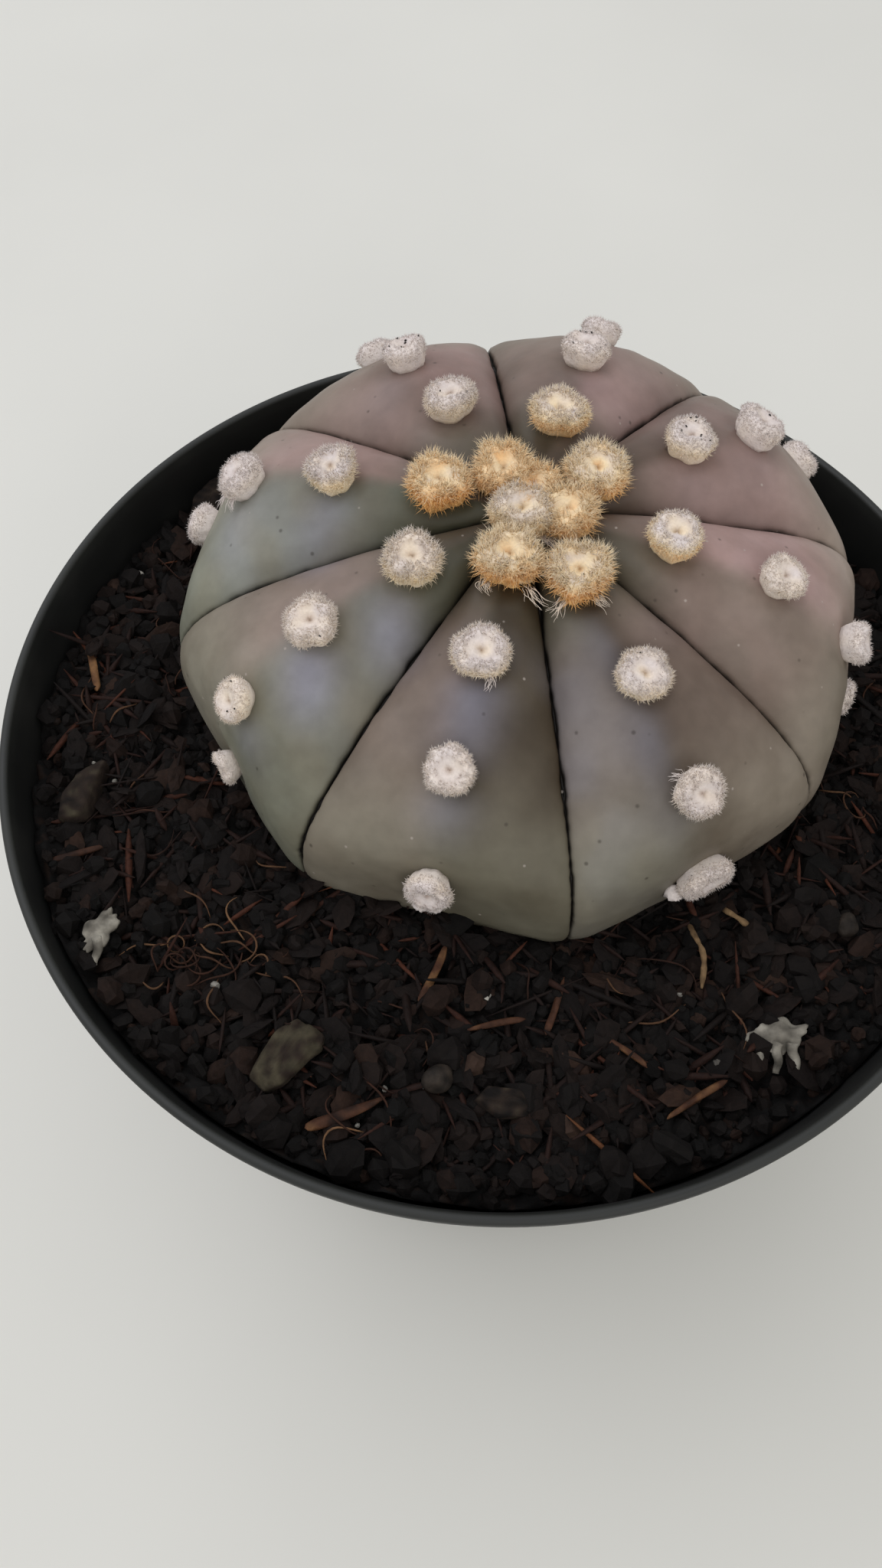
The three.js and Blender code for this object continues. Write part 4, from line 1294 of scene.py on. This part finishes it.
def torn_husk(index, pose):
    """A torn papery flake: a curved sheet with a ragged outline and a few torn ribbons that
    hang towards the front, held a little clear of the mix."""
    _, axes, sizes = pose
    rng = np.random.default_rng(400 + index)
    lat = np.linspace(0, 1, 12)[1:, None]
    lon = TAU * np.arange(72) / 72
    rim = np.stack([np.cos(lon), np.sin(lon), 0 * lon], -1)
    ragged = 0.88 + 0.09 * ripples(rim, 0.9, 405 + index) + 0.04 * ripples(rim, 0.35, 406 + index)
    x = sizes[0] * 0.52 * lat * ragged * np.cos(lon)
    y = sizes[1] * 0.54 * lat * ragged * np.sin(lon)
    flat = np.stack([x, y, 0 * x], -1)
    z = 0.6 * sizes[2] * (1 - 1.3 * lat**2) + 0.22 * ripples(flat, 2.6, 410 + index)
    upper = np.stack([x, y, z + HUSK_WALL / 2], -1)
    lower = np.stack([x, y, z - HUSK_WALL / 2], -1)
    parts = [closed_tube(np.concatenate([upper, lower[::-1]]))]
    front = -np.pi / 2 - np.arctan2(axes[1, 0], axes[0, 0])
    ahead = np.array([np.cos(front), np.sin(front)])
    beside = np.array([-np.sin(front), np.cos(front)])
    for k in HUSK_RIBBONS[index]:
        reach = 3.2 + rng.uniform(-0.4, 0.4)
        path = curl((*(1.45 * k * beside + 0.5 * ahead), 0.3), front + 0.22 * k, reach, 0.15 * k,
                    420 + 9 * index + k, RIBBON_POINTS)
        path[:, 2] = 0.5 * sizes[2] - 0.1 * np.arange(RIBBON_POINTS)
        parts.append(strand(path, np.linspace(0.66, 0.34, RIBBON_POINTS), 10))
    shape = joined(parts)
    return shape._replace(vertices=shape.vertices + np.array([0, 0, HUSK_LIFT]) @ axes)


def build_loose():
    """The larger loose pieces, each made in its CAD node's own axes and put where that is. The
    tint of each wanders about its own level."""
    chip = litter("weathered_bark", [(0.0, rgba("#120e0c")), (0.5, rgba("#2a211b")),
                                     (1.0, rgba("#453f31"))], 1.2)
    wood = litter("splintered_pine", [(0.0, rgba("#26160f")), (0.5, rgba("#4a2e1f")),
                                      (1.0, rgba("#7d5a39"))], 0.7, 0.7)
    root = litter("dry_root", [(0.0, rgba("#4a3626")), (1.0, rgba("#957a58"))], 0.8)
    husk = litter("papery_husk", [(0.0, rgba("#4a463f")), (0.5, rgba("#7d786e")),
                                  (1.0, rgba("#a39e92"))], 1.0)
    stone = litter("dull_stone", [(0.0, rgba("#171310")), (1.0, rgba("#3a322b"))], 0.9, 0.7)
    kinds = (
        ("bark_chip", bark_chip, "chip_of_bark", chip, "bark", CHIP_TINTS, 0.18, 1.6, 210),
        ("wood_splinter", splinter, "splinter", wood, "splintered_wood", SPLINTER_TINTS, 0.2,
         2.5, 310),
        ("dry_root", dry_root, "hanging_root", root, "splintered_wood", (0.6, 0.6), 0.15, 1.5,
         330),
        ("husk_flake", torn_husk, "torn_husk", husk, "husk", (0.55, 0.55), 0.2, 2.0, 430),
        ("pebble", pebble, "grit", stone, "stone", (0.5, 0.5), 0.2, 1.5, 350),
    )
    for node, make, name, material, slot, tints, spread, patch, seed in kinds:
        for index, level in enumerate(tints, 1):
            pose = pose_of(f"{node}_{index}")
            shape = put_at(make(index, pose), pose)
            tint = level + spread * ripples(shape.vertices, patch, seed + index)
            add_piece(f"{name}_{index}", shape, [material], nodes=[f"{node}_{index}"],
                      fields={"tint": np.clip(tint, 0, 1)})


def bark_chip(index, pose):
    """A chip of bark: a slab with a bent polygon outline, stepped layers and split edges."""
    sizes, seed, corners = pose[2], 200 + index, 5
    rng = np.random.default_rng(seed)
    lat = np.linspace(0.06, np.pi - 0.06, 26)[:, None]
    lon = TAU * np.arange(64) / 64
    kinks = np.sort(rng.uniform(0, TAU, corners)) + rng.uniform(-0.1, 0.1, corners)
    facing = np.cos((lon[:, None] - kinks + np.pi) % TAU - np.pi)
    edges = 1 / np.maximum(facing, 0.25) * rng.uniform(0.72, 0.95, corners)
    out = np.sin(lat) ** 0.6 * edges.min(1).clip(0.55, 1.15)
    up = np.sign(np.cos(lat)) * np.abs(np.cos(lat)) ** 0.75 + 0 * lon
    points = np.stack([out * np.cos(lon), out * np.sin(lon), up], -1) * sizes / 2
    grain = points * np.array([0.25, 1, 1])
    layers = np.floor(1.5 * ripples(grain, 3.2, seed + 1)) / 1.5
    bumps = 0.14 * ripples(grain, 1.3, seed) + 0.2 * layers
    return closed_tube(points + bumps[..., None] * np.array([0.2, 0.2, 0.8]))


def splinter(index, pose):
    """A split sliver: an uneven four-sided bar that thins to a torn point at each end and bends."""
    sizes, seed = pose[2], 300 + index
    rng = np.random.default_rng(seed)
    t = np.linspace(-1, 1, 34)[:, None]
    lon = TAU * np.arange(12) / 12
    squared = 1 / np.maximum(np.abs(np.cos(lon)) ** 3 + np.abs(np.sin(lon)) ** 3, 0.1) ** (1 / 3)
    skew = rng.uniform(-0.5, 0.5)
    taper = (1 - np.abs(t) ** 5) ** 0.7 * (1 + skew * t) * 0.62 + 0.03
    bend = rng.uniform(-0.05, 0.05) * sizes[0] * (1 - t**2)
    x = t * sizes[0] / 2 + 0 * lon
    y = taper * squared * np.cos(lon) * sizes[1] / 2 + bend
    z = taper * squared * np.sin(lon) * sizes[2] / 2
    points = np.stack([x, y, z], -1)
    fibres = 0.035 * ripples(points * np.array([0.15, 1, 1]), 0.5, seed)
    points[..., 1:] += fibres[..., None] * np.sign(points[..., 1:])
    return closed_tube(points)


# ---------------------------------------------------------------- stage

FLOOR_HALF_WIDTH = 8.0  # in metres
CAMERA_PLACE = (0, -0.07895, 0.21777)  # in metres
CAMERA_TURN = (28.3564, 0.5356, 4.0960)  # about X, Y and Z, in degrees


def build_stage(stage):
    """The floor, the even sky, a large window light from behind on the left and a weaker
    bounce from the front, and the camera, which looks down over the pot's front."""
    corners = FLOOR_HALF_WIDTH / MM * np.array([[-1, -1, 0], [1, -1, 0], [1, 1, 0], [-1, 1, 0]])
    plane = Shape(corners, np.array([[0, 1, 2, 3]]), np.empty((0, 3), int))
    floor = new_object("floor", plane)
    floor.data.materials.append(floor_finish(stage))

    world = bpy.data.worlds.new("soft_sky")
    world.use_nodes = True
    background = world.node_tree.nodes["Background"]
    background.inputs["Color"].default_value = rgba("#f0f1f2")
    background.inputs["Strength"].default_value = stage.sky
    bpy.context.scene.world = world
    add_light("window", (-0.42, 0.20, 0.85), (0, 0.01, 0.09), 1.1, stage.key_power, "#f6f7ff")
    add_light("bounce", (0.40, -0.75, 0.65), (0, 0, 0), 1.0, stage.bounce_power, "#fffaf5")

    camera_data = bpy.data.cameras.new("camera")
    camera_data.sensor_fit = "VERTICAL"
    camera_data.sensor_height = 36
    camera_data.lens = 28.125
    camera_data.clip_start = 0.01
    camera = bpy.data.objects.new("camera", camera_data)
    turn = Euler(np.radians(CAMERA_TURN).tolist())
    camera.matrix_world = Matrix.Translation(CAMERA_PLACE) @ turn.to_matrix().to_4x4()
    bpy.context.scene.collection.objects.link(camera)
    bpy.context.scene.camera = camera
    bpy.context.scene.view_settings.view_transform = "Standard"


def add_light(name, place, target, size, power, tint):
    """A square area light, of a size in metres and a power in watts, turned to a target."""
    data = bpy.data.lights.new(name, "AREA")
    data.shape, data.size, data.energy, data.color = "SQUARE", size, power, linear(tint)
    light = bpy.data.objects.new(name, data)
    light.location = place
    way = Vector(target) - Vector(place)
    light.rotation_euler = way.to_track_quat("-Z", "Y").to_euler()
    bpy.context.scene.collection.objects.link(light)


# ---------------------------------------------------------------- operators and panel


class CACTUS_OT_pot(bpy.types.Operator):
    """Build the nursery pot"""

    bl_idname = "cactus.pot"
    bl_label = "Nursery Pot"

    def execute(self, context):
        build_pot(context.scene.cactus.pot)
        return {"FINISHED"}


class CACTUS_OT_mix(bpy.types.Operator):
    """Build the potting mix and the crumbs on it"""

    bl_idname = "cactus.mix"
    bl_label = "Potting Mix"

    def execute(self, context):
        build_mix(context.scene.cactus.plant, context.scene.cactus.mix)
        return {"FINISHED"}


class CACTUS_OT_body(bpy.types.Operator):
    """Build the ribbed body"""

    bl_idname = "cactus.body"
    bl_label = "Ribbed Body"

    def execute(self, context):
        build_body(context.scene.cactus.plant)
        return {"FINISHED"}


class CACTUS_OT_wool(bpy.types.Operator):
    """Build the wool tufts on the ribs"""

    bl_idname = "cactus.wool"
    bl_label = "Wool Tufts"

    def execute(self, context):
        build_wool(context.scene.cactus.plant, context.scene.cactus.wool)
        return {"FINISHED"}


class CACTUS_OT_loose(bpy.types.Operator):
    """Build the chips, splinters, roots, husks and grit that lie on the mix"""

    bl_idname = "cactus.loose"
    bl_label = "Loose Pieces"

    def execute(self, context):
        build_loose()
        return {"FINISHED"}


class CACTUS_OT_stage(bpy.types.Operator):
    """Build the floor, the lights and the camera"""

    bl_idname = "cactus.stage"
    bl_label = "Stage"

    def execute(self, context):
        build_stage(context.scene.cactus.stage)
        return {"FINISHED"}


OPERATORS = (CACTUS_OT_pot, CACTUS_OT_mix, CACTUS_OT_body, CACTUS_OT_wool, CACTUS_OT_loose,
             CACTUS_OT_stage)


class CACTUS_PT_panel(bpy.types.Panel):
    bl_idname = "CACTUS_PT_panel"
    bl_label = "Potted Cactus"
    bl_space_type = "VIEW_3D"
    bl_region_type = "UI"
    bl_category = "Cactus"

    def draw(self, context):
        for operator in OPERATORS:
            self.layout.operator(operator.bl_idname)
        for group in ("plant", "wool", "mix", "pot", "stage"):
            settings = getattr(context.scene.cactus, group)
            box = self.layout.box()
            box.label(text=group.title())
            for field in settings.bl_rna.properties.keys():
                if field not in ("rna_type", "name"):
                    box.prop(settings, field)


CLASSES = (PlantSettings, WoolSettings, MixSettings, PotSettings, StageSettings, CactusSettings,
           *OPERATORS, CACTUS_PT_panel)


def register():
    for cls in CLASSES:
        bpy.utils.register_class(cls)
    bpy.types.Scene.cactus = PointerProperty(type=CactusSettings)


def unregister():
    del bpy.types.Scene.cactus
    for cls in reversed(CLASSES):
        bpy.utils.unregister_class(cls)


def main():
    register()
    for operator in ("stage", "pot", "mix", "body", "wool", "loose"):
        getattr(bpy.ops.cactus, operator)()


if __name__ == "__main__":
    main()
